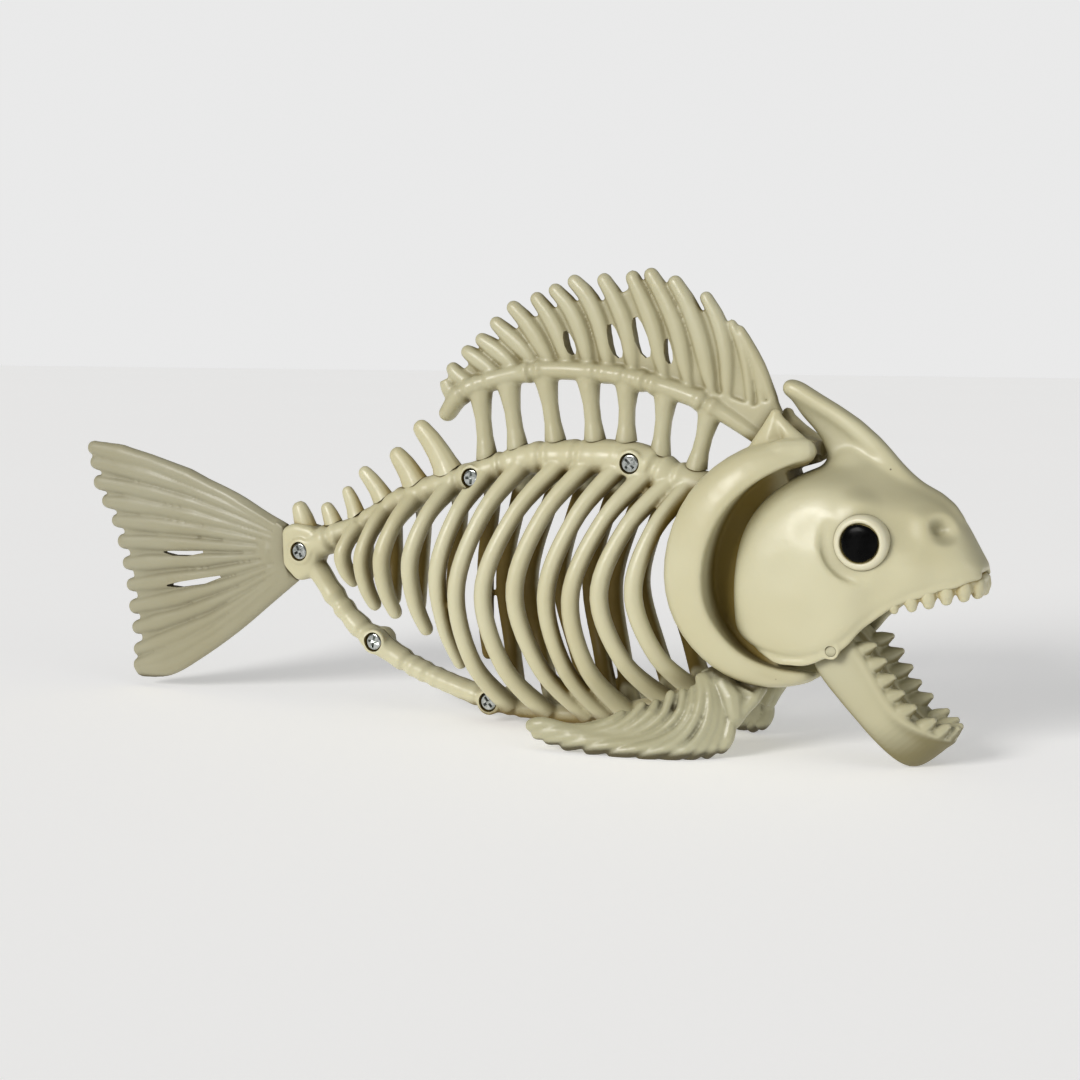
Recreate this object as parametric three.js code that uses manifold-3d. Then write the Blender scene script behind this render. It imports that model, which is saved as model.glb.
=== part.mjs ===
// Moulded plastic fish skeleton, a life-size prop of a gaping predatory fish.
// Millimetres, +Z up. X runs from the tail to the snout and Y to the fish's left.
// The pieces are drawn about the middle of the fish, and the whole is stood on z = 0 at the end.
import * as THREE from 'three';
import { mergeVertices } from 'three/addons/utils/BufferGeometryUtils.js';
import Module from 'manifold-3d';

const wasm = await Module();
wasm.setup();

// ---- driving dimensions ----
const FLOOR_Z = -57.2; // level of the small flats that it stands on
const FIT = 0.3; // gap between pieces that touch
const SEAM = FIT / 2; // half of the gap along the middle seam of the two-part body
const BIG = 400; // larger than the fish, for cutting blocks

const BACKBONE = [ // x, z and half height of the backbone
  [-88, -9.5, 4.4], [-81, -6, 4.8], [-74, -2.9, 4.4], [-63, 1.8, 3.4], [-49.6, 9.3, 3.8], [-37.4, 14, 4.2],
  [-24.4, 18, 4.4], [-12, 22.3, 4.2], [0, 25, 4.8], [15, 25.6, 5.2], [31.4, 25.2, 5.4], [42.5, 21.2, 4.6],
  [53.2, 18.3, 4.6],
];
const KEEL = [ // x, z and half height of the belly bar
  [-86, -11, 3.6], [-80, -13, 3.5], [-74, -20.6, 3.2], [-65.6, -29.6, 3.3], [-56.8, -35.6, 3.7],
  [-44, -42.2, 3.2], [-28.5, -47.4, 3.2], [-16, -50.4, 3.5], [-2.5, -52.4, 2.9], [12, -52.6, 2.9],
  [24, -51, 2.8], [38, -47.4, 2.8], [52, -42.3, 2.8], [61, -38.6, 2.8],
];
const BAR_FLATNESS = 1.15; // half thickness of backbone and belly bar over their half height

const RIB_RADIUS = 2.3;
const RIB_SIDES = 5;
const RIB_TOP_X = [-63, -53, -42, -29, -17, -4.6, 9, 18.2, 28.2, 36.8, 44, 49.5];
const RIB_END_X = [-63.8, -54.8, -46.5, -34.7, -22.5, -8.8, 4.1, 17.7, 23.3, 29.7, 43.4, 52.7];
const RIB_FREE_END_Z = [-15.6, -22.3, -24.2, -28.4, -37.8]; // the rear ribs hang free of the belly bar
const RIB_BOW = [2.5, 3, 4, 5, 7, 13.6, 17.8, 18.6, 16, 15.6, 17, 13.6]; // how far each rib bows to the tail
const CAGE_HALF_WIDTH = 16;
const CAGE_REAR_X = -84; // the cage narrows to nothing here
const CAGE_FULL_X = -22; // and is at its full width from here on

const SCREWS = [ // x, z and y of the head's face
  [-83.4, -7.3, -5.2], [-56.8, -34.9, -3.9], [-15.9, -50.6, -3.9], [-21.1, 18.4, -4.9], [31.9, 24.6, -6.1],
];
const SCREW_HEAD_RADIUS = 2.9;
const SCREW_HEAD_HEIGHT = 1.4;
const SCREW_SHANK_RADIUS = 1.3;
const SCREW_SHANK_LENGTH = 5.6;

const TAIL_TOP = [[-91.6, 0.2], [-100.1, 4], [-111.7, 9.8], [-128.9, 16], [-145.1, 20.8], [-157.6, 24.2],
  [-166.5, 25.6]];
const TAIL_BOTTOM = [[-154.4, -51.1], [-150.5, -54.1], [-139.7, -52.8], [-128.4, -46.8], [-112.8, -36.5],
  [-98.7, -25.6], [-88.6, -17.8]];
const TAIL_RIM = [ // x and z along the tips of the rays
  [-171.6, 23.7], [-168, 10.2], [-160.2, -4], [-156.4, -20], [-154, -36], [-154.4, -51.1],
];
const TAIL_RAYS = 12;
const TAIL_NOTCH = 2.4;
const TAIL_ROOT_HALF = 2.3;
const TAIL_EDGE_HALF = 0.8;
const TONGUE_HALF = 1.0; // the tail's tongue, held between the body halves by the rear screw

const FIN_BAR = [ // x, z and radius of the dorsal fin's cross bar
  [-32.2, 38.6, 2.6], [-23.8, 45.4, 3.1], [-2, 51, 3.1], [18.7, 50.9, 3], [35.1, 48.2, 3.1], [53.2, 42.6, 3],
  [70.5, 32.6, 2.7],
];
const FIN_TIPS = [[-31.8, 48.5], [-30.4, 52.8], [-25.1, 57.7], [-21, 61.4], [-15.1, 66.5], [-9.4, 71.3],
  [-1.7, 73.9], [4, 76.3], [10.2, 78.8], [20.2, 79.6], [29.5, 80.1], [35.2, 80.9], [42.7, 78.8], [52.3, 73.8],
  [61.2, 66.1]];
const FIN_ROOT_X = [-21, -15, -9, -3.5, 2, 8, 13.5, 19, 25, 31, 37, 43.5, 50.5, 58, 65.5]; // along the bar
const FIN_RAY_RADIUS = 2.2;
const FIN_WEB_HALF = 1.0;
const FIN_WEB_REACH = 0.84; // how far up the rays the web between them goes
const LEG_FOOT = [[-17.7, 22], [-7.1, 25], [5.7, 27], [18.5, 28], [28.2, 28], [38.7, 24], [49.7, 21]];
const LEG_HEAD_X = [-20.4, -10.8, 1.7, 15.8, 28.7, 41.1, 55.1];
const LEG_RADIUS = 2.5;

const BACK_SPINES = [ // foot x, tip x and z, radius at the foot
  [-83.4, -86.5, 7.9, 3.2], [-73.4, -76.2, 8.1, 2.6], [-65, -68.3, 13.6, 2.3], [-54.5, -63, 20.1, 2.6],
  [-43, -51.2, 26.4, 3.2], [-31.3, -41.8, 35.1, 3.2],
];

const COLLAR_CENTRE = [88, -2]; // x and z of the middle of the shoulder girdle's sweep
const COLLAR = [ // angle round the centre, radius at the lip, radius at the back, half width at the lip
  [84, 29.8, 33, 7.5], [100, 28.2, 36.4, 13.5], [122, 26.2, 38.8, 18], [150, 25.2, 42, 20.5],
  [180, 25.6, 43.8, 21], [205, 28.4, 44.6, 21], [230, 29.4, 42.2, 19], [248, 29.6, 39.4, 15.5],
  [262, 29.6, 35.6, 12], [272, 29.8, 33, 9.6],
];
const COLLAR_WALL = 2.4;
const NECK_RADIUS = 7.5;
const NECK_Z = -8;
const NECK_X = [46.6, 72]; // from the girdle's inner wall to the back of the head
const PRONG = [[61, 23], [66.5, 31.4], [72.6, 37.4], [76.3, 42.2], [79.4, 38.6], [83.6, 33.6], [88.2, 29.6],
  [84, 29.4], [74, 28.5], [66, 22]];
const PRONG_INNER_Y = 3.4;
const PRONG_OUTER_Y = 7.2;

const SKULL = [ // x, top, widest level, lower edge, half width there, half width at the lower edge
  [66.8, 2, -8, -18, 13.4, 11.6], [68.4, 9.4, -5, -22.4, 17, 13.8], [73.4, 17.4, 0, -26.4, 18.7, 15.3],
  [82, 23.4, 2, -28.4, 19.6, 16], [90, 26, 3, -28.2, 19.8, 16], [97, 28, 4, -25.4, 19.6, 15.8],
  [102, 29, 5, -20.6, 19.2, 15.5], [106, 29, 5, -15.8, 18.3, 15], [112, 25, 5, -11.3, 16.6, 14.2],
  [118, 21, 4, -8.3, 14.8, 13.2], [124, 18, 3, -6, 13, 12], [128.5, 12.6, 2, -4.5, 11.2, 10.6],
  [132, 5.8, 0.5, -3, 9.4, 9], [134.6, 0.8, -1, -2.1, 6.8, 6.6], [135.7, -0.8, -1.3, -1.8, 4, 3.8],
];
const MOUTH = [ // the same columns for the open hollow of the mouth
  [79, 10, 0, -40, 13, 12.8], [90, 14, 0, -40, 15, 13.5], [102, 13, 0, -40, 15, 13.2],
  [112, 10, 0, -40, 13, 12], [120, 7, 0, -40, 11.4, 10.8], [127, 4, -1, -40, 9.2, 8.8],
  [131, 1.2, -2, -40, 8, 7.8], [134.5, -1, -2, -40, 5.4, 5.2],
];
const CREST = [[92, 22], [89.4, 27.5], [87.2, 32.9], [82.4, 37.6], [78.5, 42.8], [75.3, 48.4], [77, 49.8],
  [87, 45], [98, 39.2], [104.8, 33.2], [111, 24.5], [104, 20]];
const CREST_HALF_FOOT = 4.6;
const CREST_HALF_TOP = 1.8;

const EYE = [104.8, 6.2]; // x and z of the eye's middle
const EYE_RADIUS = 7.4;
const PUPIL_RADIUS = 5.1;
const EYE_BACK_Y = 14.6;
const EYE_FACE_Y = 19.2;
const NOSTRIL = [122, 8.4, 2.6]; // x, z and radius
const NOSTRIL_FLOOR_Y = 10.4;

const HINGE = [96.4, -24.4]; // x and z of the jaw's hinge
const JAW_DROP = 47; // degrees that the gaping jaw hangs below level
const JAW_HALF_WIDTH = 12.2;
const JAW_REACH = 40.6; // hinge to chin
const JAW_WALL = 2.4;
const JAW_LEDGE = 2.6; // thickness of the gum ledge
const JAW_SHELF = 5.6; // width of the gum ledge that carries the teeth
const GUM_LINE = [[-5, 4.4], [4, 5.4], [12.6, 3.5], [22, 1.6], [27.6, 2.2], [32.6, 4], [37.6, 5.8],
  [41.6, 6.8]];
const JAW_UNDERSIDE = [[41, 3.6], [40.2, -2.4], [39.4, -6.2], [37.2, -9], [31.6, -9.1], [22.6, -9.2],
  [10.6, -9.4], [-1, -9], [-5.4, -5.6]];
const STUB_RADIUS = 1.4;
const STUB_FIT = 0.3; // clearance of the stub in the skull's hole
const LOWER_TEETH_U = [7, 12.4, 17.6, 22.6, 28];
const LOWER_FRONT_TEETH = 6; // round the chin
const TOOTH_RADIUS = 2.2;
const TOOTH_TIP_RADIUS = 0.55;
const TOOTH_HEIGHT = 4.1;

const UPPER_STRIP_START_X = 110.5;
const UPPER_STRIP_FRONT = [[133, 3.9, -4.3], [134, 0, -4.3]]; // x, y and z round the snout
const UPPER_TOOTH_DROPS = [2.6, 4.2, 5.6, 5.6, 5.2, 4.4]; // on each side, from the corner of the mouth

const PECTORAL_ROOT = [[69.8, -38.6, -10], [55, -36.4, -12]]; // x, z and y at the first and last ray
const PECTORAL_BEND = [[71, -49, -11.6], [36, -49.5, -20]];
const PECTORAL_TIPS = [[65.6, -55.6, -15.6], [50, -59, -27], [31, -58, -29.5], [10.5, -51.2, -30.5]];
const PECTORAL_RAYS = 9;
const PECTORAL_HALF = 1.25;

// ---- colours ----
function plastic(colour, roughness) {
  return new THREE.MeshStandardMaterial({ color: colour, roughness, metalness: 0 });
}
const bone = () => plastic('#d6cfaa', 0.42);
const tailBone = () => plastic('#c9c19c', 0.48);
const eyeWhite = () => plastic('#e6e2cf', 0.4);
const pupilBlack = () => plastic('#0c0c0c', 0.2);
const steel = () => new THREE.MeshStandardMaterial({ color: '#b9bcc0', roughness: 0.25, metalness: 1 });

// ---- shaping tools ----
function solid(geometry) {
  const bare = geometry.clone();
  bare.deleteAttribute('normal');
  bare.deleteAttribute('uv');
  const merged = mergeVertices(bare, 1e-4);
  return new wasm.Manifold(new wasm.Mesh({
    numProp: 3,
    vertProperties: new Float32Array(merged.attributes.position.array),
    triVerts: new Uint32Array(merged.index.array),
  }));
}

function join(pieces) {
  return pieces.reduce((whole, piece) => whole.add(piece));
}

function node(name, body, material) {
  const mesh = body.getMesh();
  const geometry = new THREE.BufferGeometry();
  geometry.setAttribute('position', new THREE.BufferAttribute(mesh.vertProperties, 3));
  geometry.setIndex(new THREE.BufferAttribute(mesh.triVerts, 1));
  const result = new THREE.Mesh(geometry, material);
  result.name = name;
  return result;
}

function block(low, high) {
  const size = high.map((value, axis) => value - low[axis]);
  const box = new THREE.BoxGeometry(...size);
  box.translate(...low.map((value, axis) => value + size[axis] / 2));
  return solid(box);
}

// One row of a table of knots, read smoothly at 0 to 1 along it.
function along(knots, where) {
  const place = Math.min(Math.max(where, 0), 1) * (knots.length - 1);
  const index = Math.min(Math.floor(place), knots.length - 2);
  const t = place - index;
  const row = (k) => knots[Math.min(Math.max(k, 0), knots.length - 1)];
  return knots[0].map((_, column) => {
    const [a, b, c, d] = [-1, 0, 1, 2].map((step) => row(index + step)[column]);
    const bend = (2 * a - 5 * b + 4 * c - d) * t * t + (3 * b - a - 3 * c + d) * t * t * t;
    return 0.5 * (2 * b + (c - a) * t + bend);
  });
}

// The value of one column of a table whose first column is x, at a given x.
function atX(knots, x, column = 1) {
  const last = knots.length - 2;
  const found = knots.findIndex((knot) => knot[0] > x) - 1;
  const index = found < -1 ? last : Math.min(Math.max(found, 0), last);
  const [near, far] = [knots[index], knots[index + 1]];
  return near[column] + ((far[column] - near[column]) * (x - near[0])) / (far[0] - near[0]);
}

// A closed body through a row of rings of points, capped at both ends.
function loft(rings) {
  const count = rings[0].length;
  const triangles = [];
  for (let ring = 0; ring + 1 < rings.length; ring += 1) {
    for (let side = 0; side < count; side += 1) {
      const a = ring * count + side;
      const b = ring * count + ((side + 1) % count);
      triangles.push([a, b, b + count], [a, b + count, a + count]);
    }
  }
  triangles.push(...cap(rings[0], -1));
  triangles.push(...cap(rings.at(-1), 1).map((face) => face.map((k) => k + (rings.length - 1) * count)));
  const points = rings.flat();
  const volume = triangles.reduce((sum, [a, b, c]) => (
    sum + points[a].dot(points[b].clone().cross(points[c]))), 0);
  const faces = volume > 0 ? triangles : triangles.map(([a, b, c]) => [a, c, b]);
  const geometry = new THREE.BufferGeometry().setFromPoints(points);
  geometry.setIndex(faces.flat());
  return solid(geometry);
}

// The faces that close a ring, wound with it (1) or against it (-1).
function cap(ring, wound) {
  const middle = ring.reduce((sum, p) => sum.add(p), new THREE.Vector3()).divideScalar(ring.length);
  const normal = ring.reduce((sum, p, k) => {
    const next = ring[(k + 1) % ring.length];
    return sum.add(p.clone().sub(middle).cross(next.clone().sub(middle)));
  }, new THREE.Vector3()).normalize();
  const across = ring[0].clone().sub(middle).normalize();
  const up = normal.clone().cross(across);
  const flat = ring.map((p) => {
    const arm = p.clone().sub(middle);
    return new THREE.Vector2(arm.dot(across), arm.dot(up));
  });
  return THREE.ShapeUtils.triangulateShape(flat, []).map(([a, b, c]) => {
    const area = flat[b].clone().sub(flat[a]).cross(flat[c].clone().sub(flat[a]));
    return Math.sign(area) === wound ? [a, b, c] : [a, c, b];
  });
}

// A round bar through rows of x, y, z and radius. It is "wide" times as thick across Y as it is high.
function bar(rows, sides, wide = 1) {
  const places = rows.map(([x, y, z]) => new THREE.Vector3(x, y, z));
  const rings = rows.map(([, , , radius], k) => {
    const next = places[Math.min(k + 1, rows.length - 1)];
    const ahead = next.clone().sub(places[Math.max(k - 1, 0)]).normalize();
    const up = new THREE.Vector3(0, 1, 0).cross(ahead).normalize();
    const side = ahead.clone().cross(up);
    return Array.from({ length: sides }, (_, s) => {
      const turn = ((s + 0.5) / sides) * 2 * Math.PI;
      return places[k].clone()
        .addScaledVector(up, radius * Math.cos(turn))
        .addScaledVector(side, radius * wide * Math.sin(turn));
    });
  });
  return loft(rings);
}

// The same bar along a table of x, z and radius on the middle plane.
function barAlong(knots, steps, sides, wide, grow = 0) {
  const rows = Array.from({ length: steps + 1 }, (_, k) => {
    const [x, z, radius] = along(knots, k / steps);
    return [x, 0, z, radius + grow];
  });
  return bar(rows, sides, wide);
}

// A flat plate in the XZ plane with a given outline, centred on y.
function plate(points, thickness, y = 0, holes = []) {
  const shape = new THREE.Shape(points.map(([x, z]) => new THREE.Vector2(x, z)));
  shape.holes = holes;
  const geometry = new THREE.ExtrudeGeometry(shape, { depth: thickness, bevelEnabled: false });
  geometry.rotateX(Math.PI / 2);
  geometry.translate(0, y + thickness / 2, 0);
  return solid(geometry);
}

function rodAcross(x, z, radius, fromY, toY, sides = 8) {
  const rod = new THREE.CylinderGeometry(radius, radius, toY - fromY, sides);
  rod.translate(x, (fromY + toY) / 2, z);
  return solid(rod);
}

function mirrored(body) {
  return body.mirror([0, 1, 0]);
}

function bend(from, middle, to, t) {
  return from.map((value, axis) => (
    (1 - t) * (1 - t) * value + 2 * t * (1 - t) * middle[axis] + t * t * to[axis]));
}

// ---- the two-part body: backbone, ribs and belly bar ----
function backbone(grow) {
  return barAlong(BACKBONE, 12, 6, BAR_FLATNESS, grow);
}

function keel(grow) {
  return barAlong(KEEL, 10, 6, BAR_FLATNESS, grow);
}

function cageHalfWidth(x) {
  const t = THREE.MathUtils.clamp((x - CAGE_REAR_X) / (CAGE_FULL_X - CAGE_REAR_X), 0, 1);
  return CAGE_HALF_WIDTH * Math.sin((t * Math.PI) / 2);
}

function rib(index, grow) {
  const topX = RIB_TOP_X[index];
  const endX = RIB_END_X[index];
  const free = index < RIB_FREE_END_Z.length;
  const topZ = atX(BACKBONE, topX) - 1;
  const endZ = free ? RIB_FREE_END_Z[index] : atX(KEEL, endX);
  const middleX = (topX + endX) / 2;
  const wide = cageHalfWidth(middleX - RIB_BOW[index]);
  const curve = new THREE.CatmullRomCurve3([
    new THREE.Vector3(topX, -2.4, topZ),
    new THREE.Vector3(topX * 0.8 + endX * 0.2 - RIB_BOW[index] * 0.6, -wide * 0.72, topZ * 0.8 + endZ * 0.2),
    new THREE.Vector3(middleX - RIB_BOW[index], -wide, (topZ + endZ) / 2),
    new THREE.Vector3(topX * 0.2 + endX * 0.8 - RIB_BOW[index] * 0.6, -wide * 0.84, topZ * 0.2 + endZ * 0.8),
    new THREE.Vector3(endX, free ? -wide * 0.6 : -3, endZ),
  ]);
  const round = new THREE.EllipseCurve(0, 0, RIB_RADIUS + grow, RIB_RADIUS + grow, 0, 2 * Math.PI);
  const section = new THREE.Shape(round.getPoints(RIB_SIDES).slice(0, RIB_SIDES));
  const steps = free ? 3 : 4;
  return solid(new THREE.ExtrudeGeometry(section, { steps, bevelEnabled: false, extrudePath: curve }));
}

function screwHole([x, z, faceY]) {
  const well = rodAcross(x, z, SCREW_HEAD_RADIUS + FIT, faceY - 6, faceY + SCREW_HEAD_HEIGHT + FIT);
  const bore = rodAcross(x, z, SCREW_SHANK_RADIUS + FIT, faceY - 6, 3, 6);
  return well.add(bore);
}

function tailHolder() {
  return plate([[-90.8, -0.6], [-86, 1.6], [-78, 0], [-76, -9], [-79, -17], [-86, -17.4], [-90.4, -12]], 9.6);
}

function tonguePocket(grow) {
  return block([-93, -TONGUE_HALF - grow, -12.4 - grow], [-79 + grow, TONGUE_HALF + grow, -3 + grow]);
}

function trunkHalf(grow) {
  const ribs = RIB_TOP_X.map((_, index) => rib(index, grow));
  const whole = join([backbone(grow), keel(grow), tailHolder(), ...ribs]);
  return whole.subtract(block([-BIG, -SEAM, -BIG], [BIG, BIG, BIG]));
}

// ---- fins and spines set into the back ----
function tailFin() {
  const points = TAIL_TOP.slice();
  for (let ray = 0; ray < TAIL_RAYS; ray += 1) {
    const [tipX, tipZ] = along(TAIL_RIM, ray / (TAIL_RAYS - 1));
    points.push([tipX, tipZ]);
    const [notchX, notchZ] = along(TAIL_RIM, (ray + 0.35) / (TAIL_RAYS - 1));
    if (ray < TAIL_RAYS - 1) points.push([notchX + TAIL_NOTCH, notchZ]);
  }
  points.push(...TAIL_BOTTOM.slice(1));
  points.push([-91.6, -12], [-92, -6]);
  const slot = (rows) => new THREE.Path(rows.map(([x, z]) => new THREE.Vector2(x, z)));
  const slots = [
    slot([[-140, -10.8], [-132, -11.8], [-123.4, -10.3], [-124, -9.4], [-132, -10]]),
    slot([[-138.4, -22.6], [-128, -21.2], [-116.4, -18], [-117, -17.2], [-128, -19.4], [-138, -21]]),
  ];
  const taper = loft([[-86, TAIL_ROOT_HALF], [-176, TAIL_EDGE_HALF]].map(([x, half]) => [
    new THREE.Vector3(x, -half, -70), new THREE.Vector3(x, half, -70),
    new THREE.Vector3(x, half, 40), new THREE.Vector3(x, -half, 40)]));
  const blade = plate(points, 2 * TAIL_ROOT_HALF, 0, slots).intersect(taper);
  const bore = rodAcross(SCREWS[0][0], SCREWS[0][1], SCREW_SHANK_RADIUS + FIT, -9, 9, 6);
  return blade.add(tonguePocket(0)).subtract(bore);
}

function finRay(index) {
  const rootX = FIN_ROOT_X[index];
  const [tipX, tipZ] = FIN_TIPS[index];
  const rootZ = atX(FIN_BAR, rootX);
  return bar([[rootX, 0, rootZ, FIN_RAY_RADIUS], [tipX, 0, tipZ, FIN_RAY_RADIUS * 0.8]], 4);
}

function finLeg(index) {
  const [footX, footZ] = LEG_FOOT[index];
  const headX = LEG_HEAD_X[index];
  const headZ = atX(FIN_BAR, headX);
  const flare = [1.35, 0.92, 1.4];
  const rows = flare.map((wide, k) => {
    const t = k / (flare.length - 1);
    return [footX + (headX - footX) * t, 0, footZ + (headZ - footZ) * t, LEG_RADIUS * wide];
  });
  return bar(rows, 5);
}

function dorsalFin(seat) {
  const web = FIN_TIPS.map(([tipX, tipZ], k) => {
    const rootX = FIN_ROOT_X[k];
    const rootZ = atX(FIN_BAR, rootX);
    return [rootX + (tipX - rootX) * FIN_WEB_REACH, rootZ + (tipZ - rootZ) * FIN_WEB_REACH];
  });
  const frontEdge = [[66.4, 58], [71, 48], [73.4, 41.4], [70, 33.5]];
  const barLine = FIN_BAR.toReversed().map(([x, z]) => [x, z]);
  const sheet = plate([...web, ...frontEdge, ...barLine.slice(1)], 2 * FIN_WEB_HALF);
  const front = bar([[70.2, 0, 34, 2.4], [72, 0, 42, 2.2], [66.6, 0, 56, 2.2], [60.4, 0, 66, 1.9]], 6);
  const rays = FIN_TIPS.map((_, index) => finRay(index));
  const legs = LEG_FOOT.map((_, index) => finLeg(index));
  return join([sheet, front, barAlong(FIN_BAR, 9, 6, 1), ...rays, ...legs]).subtract(seat);
}

function backSpine([footX, tipX, tipZ, radius], seat) {
  const footZ = atX(BACKBONE, footX);
  const rows = [[1, 0], [1.05, 0.35], [0.8, 0.7], [0.5, 1]].map(([wide, t]) => (
    [footX + (tipX - footX) * t * (0.4 + 0.6 * t), 0, footZ + (tipZ - footZ) * t, radius * wide]));
  return bar(rows, 6).subtract(seat);
}

// ---- shoulder girdle ----
function collarHalf(grow) {
  const rings = COLLAR.map(([angle, lip, back, half]) => {
    const turn = THREE.MathUtils.degToRad(angle);
    const deep = back - lip;
    const wall = COLLAR_WALL;
    const section = [
      [lip - grow, -half - grow], [lip + deep * 0.42, -half - grow], [lip + deep * 0.86, -half * 0.84 - grow],
      [back + grow, -half * 0.48 - grow], [back + 0.6 + grow, -SEAM], [back - wall, -SEAM],
      [back - wall - 0.5, -half * 0.42 + 0.4], [lip + deep * 0.86 - wall, -half * 0.84 + wall * 0.8],
      [lip + deep * 0.42 - 0.4, -half + wall], [lip - grow, -half + wall - 0.6],
    ];
    return section.map(([r, y]) => new THREE.Vector3(
      COLLAR_CENTRE[0] + r * Math.cos(turn), y, COLLAR_CENTRE[1] + r * Math.sin(turn)));
  });
  const prong = plate(PRONG, PRONG_OUTER_Y - PRONG_INNER_Y + grow, -(PRONG_OUTER_Y + PRONG_INNER_Y) / 2);
  const crestRoom = block([86.4, -CREST_HALF_FOOT - 0.6, 20], [100, CREST_HALF_FOOT + 0.6, 60]);
  return loft(rings).add(prong).subtract(crestRoom);
}

// The plug that carries the head, with the gap of a fit at both of its ends.
function neck(head, girdle) {
  const length = NECK_X[1] - NECK_X[0];
  const drum = new THREE.CylinderGeometry(NECK_RADIUS, NECK_RADIUS, length, 12);
  drum.rotateZ(Math.PI / 2);
  drum.translate(NECK_X[0] + length / 2, 0, NECK_Z);
  return [girdle, girdle.translate([FIT, 0, 0]), head, head.translate([-FIT, 0, 0])]
    .reduce((body, cut) => body.subtract(cut), solid(drum));
}

// ---- head ----
function headRing([x, top, widest, low, half, lip]) {
  const right = [[0, top]];
  for (const turn of [64, 28]) {
    const angle = THREE.MathUtils.degToRad(turn);
    right.push([-half * Math.cos(angle) ** 0.55, widest + (top - widest) * Math.sin(angle) ** 0.8]);
  }
  right.push([-half, widest], [-half * 0.55 - lip * 0.45, (widest + low) / 2], [-lip, low]);
  const left = right.slice(1).reverse().map(([y, z]) => [-y, z]);
  return [...right, ...left].map(([y, z]) => new THREE.Vector3(x, y, z));
}

function crest() {
  const blade = plate(CREST, 2 * CREST_HALF_FOOT);
  const wedge = loft([60, 120].map((x) => [
    new THREE.Vector3(x, -CREST_HALF_FOOT - 0.6, 16), new THREE.Vector3(x, CREST_HALF_FOOT + 0.6, 16),
    new THREE.Vector3(x, CREST_HALF_TOP, 51), new THREE.Vector3(x, -CREST_HALF_TOP, 51)]));
  return blade.intersect(wedge);
}

function skull() {
  const outer = join([loft(SKULL.map(headRing)), crest()]);
  const eyes = rodAcross(EYE[0], EYE[1], EYE_RADIUS + FIT, -30, -EYE_BACK_Y + FIT, 12);
  const nostrils = rodAcross(NOSTRIL[0], NOSTRIL[1], NOSTRIL[2], -20, -NOSTRIL_FLOOR_Y);
  const hinge = rodAcross(HINGE[0], HINGE[1], STUB_RADIUS + STUB_FIT, -30, 30);
  return [loft(MOUTH.map(headRing)), eyes, mirrored(eyes), nostrils, mirrored(nostrils), hinge]
    .reduce((body, cut) => body.subtract(cut), outer);
}

// One piece turned about the eye's axis, from rows of radius and depth, on the fish's right.
function turnedEye(profile) {
  const geometry = new THREE.LatheGeometry(profile.map(([r, y]) => new THREE.Vector2(r, y)), 12);
  geometry.rotateX(Math.PI);
  geometry.translate(EYE[0], 0, EYE[1]);
  return solid(geometry);
}

function eyeBall() {
  const face = EYE_FACE_Y;
  const seat = PUPIL_RADIUS + FIT;
  return turnedEye([[0, EYE_BACK_Y], [EYE_RADIUS, EYE_BACK_Y], [EYE_RADIUS, face - 1.6],
    [EYE_RADIUS - 1, face - 0.2], [seat, face], [seat, face - 1.2], [0, face - 1.2]]);
}

function pupil() {
  const face = EYE_FACE_Y;
  return turnedEye([[0, face - 1.2 + FIT], [PUPIL_RADIUS, face - 1.2 + FIT], [PUPIL_RADIUS, face - 0.1],
    [PUPIL_RADIUS * 0.6, face + 0.4], [0, face + 0.6]]);
}

// The U of a jaw seen from above, "inset" inside the outer face, from the back to the chin and back.
function jawU(inset, backU) {
  const half = JAW_HALF_WIDTH - inset;
  const reach = JAW_REACH - inset;
  const bendU = JAW_REACH - 17;
  const points = [new THREE.Vector2(backU, -half)];
  for (let step = 0; step <= 8; step += 1) {
    const angle = -Math.PI / 2 + (step / 8) * Math.PI;
    points.push(new THREE.Vector2(bendU + (reach - bendU) * Math.cos(angle), half * Math.sin(angle)));
  }
  points.push(new THREE.Vector2(backU, half));
  return points;
}

function prism(points, low, high) {
  const shape = new THREE.Shape(points);
  const geometry = new THREE.ExtrudeGeometry(shape, { depth: high - low, bevelEnabled: false });
  geometry.translate(0, 0, low);
  return solid(geometry);
}

function tooth(u, y, v, lean, size = 1) {
  const height = TOOTH_HEIGHT * size + 1;
  const cone = new THREE.CylinderGeometry(TOOTH_TIP_RADIUS, TOOTH_RADIUS * size, height, 4);
  cone.rotateX(Math.PI / 2);
  cone.translate(0, 0, height / 2 - 1);
  cone.rotateY(lean);
  cone.translate(u, y, v);
  return solid(cone);
}

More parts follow.
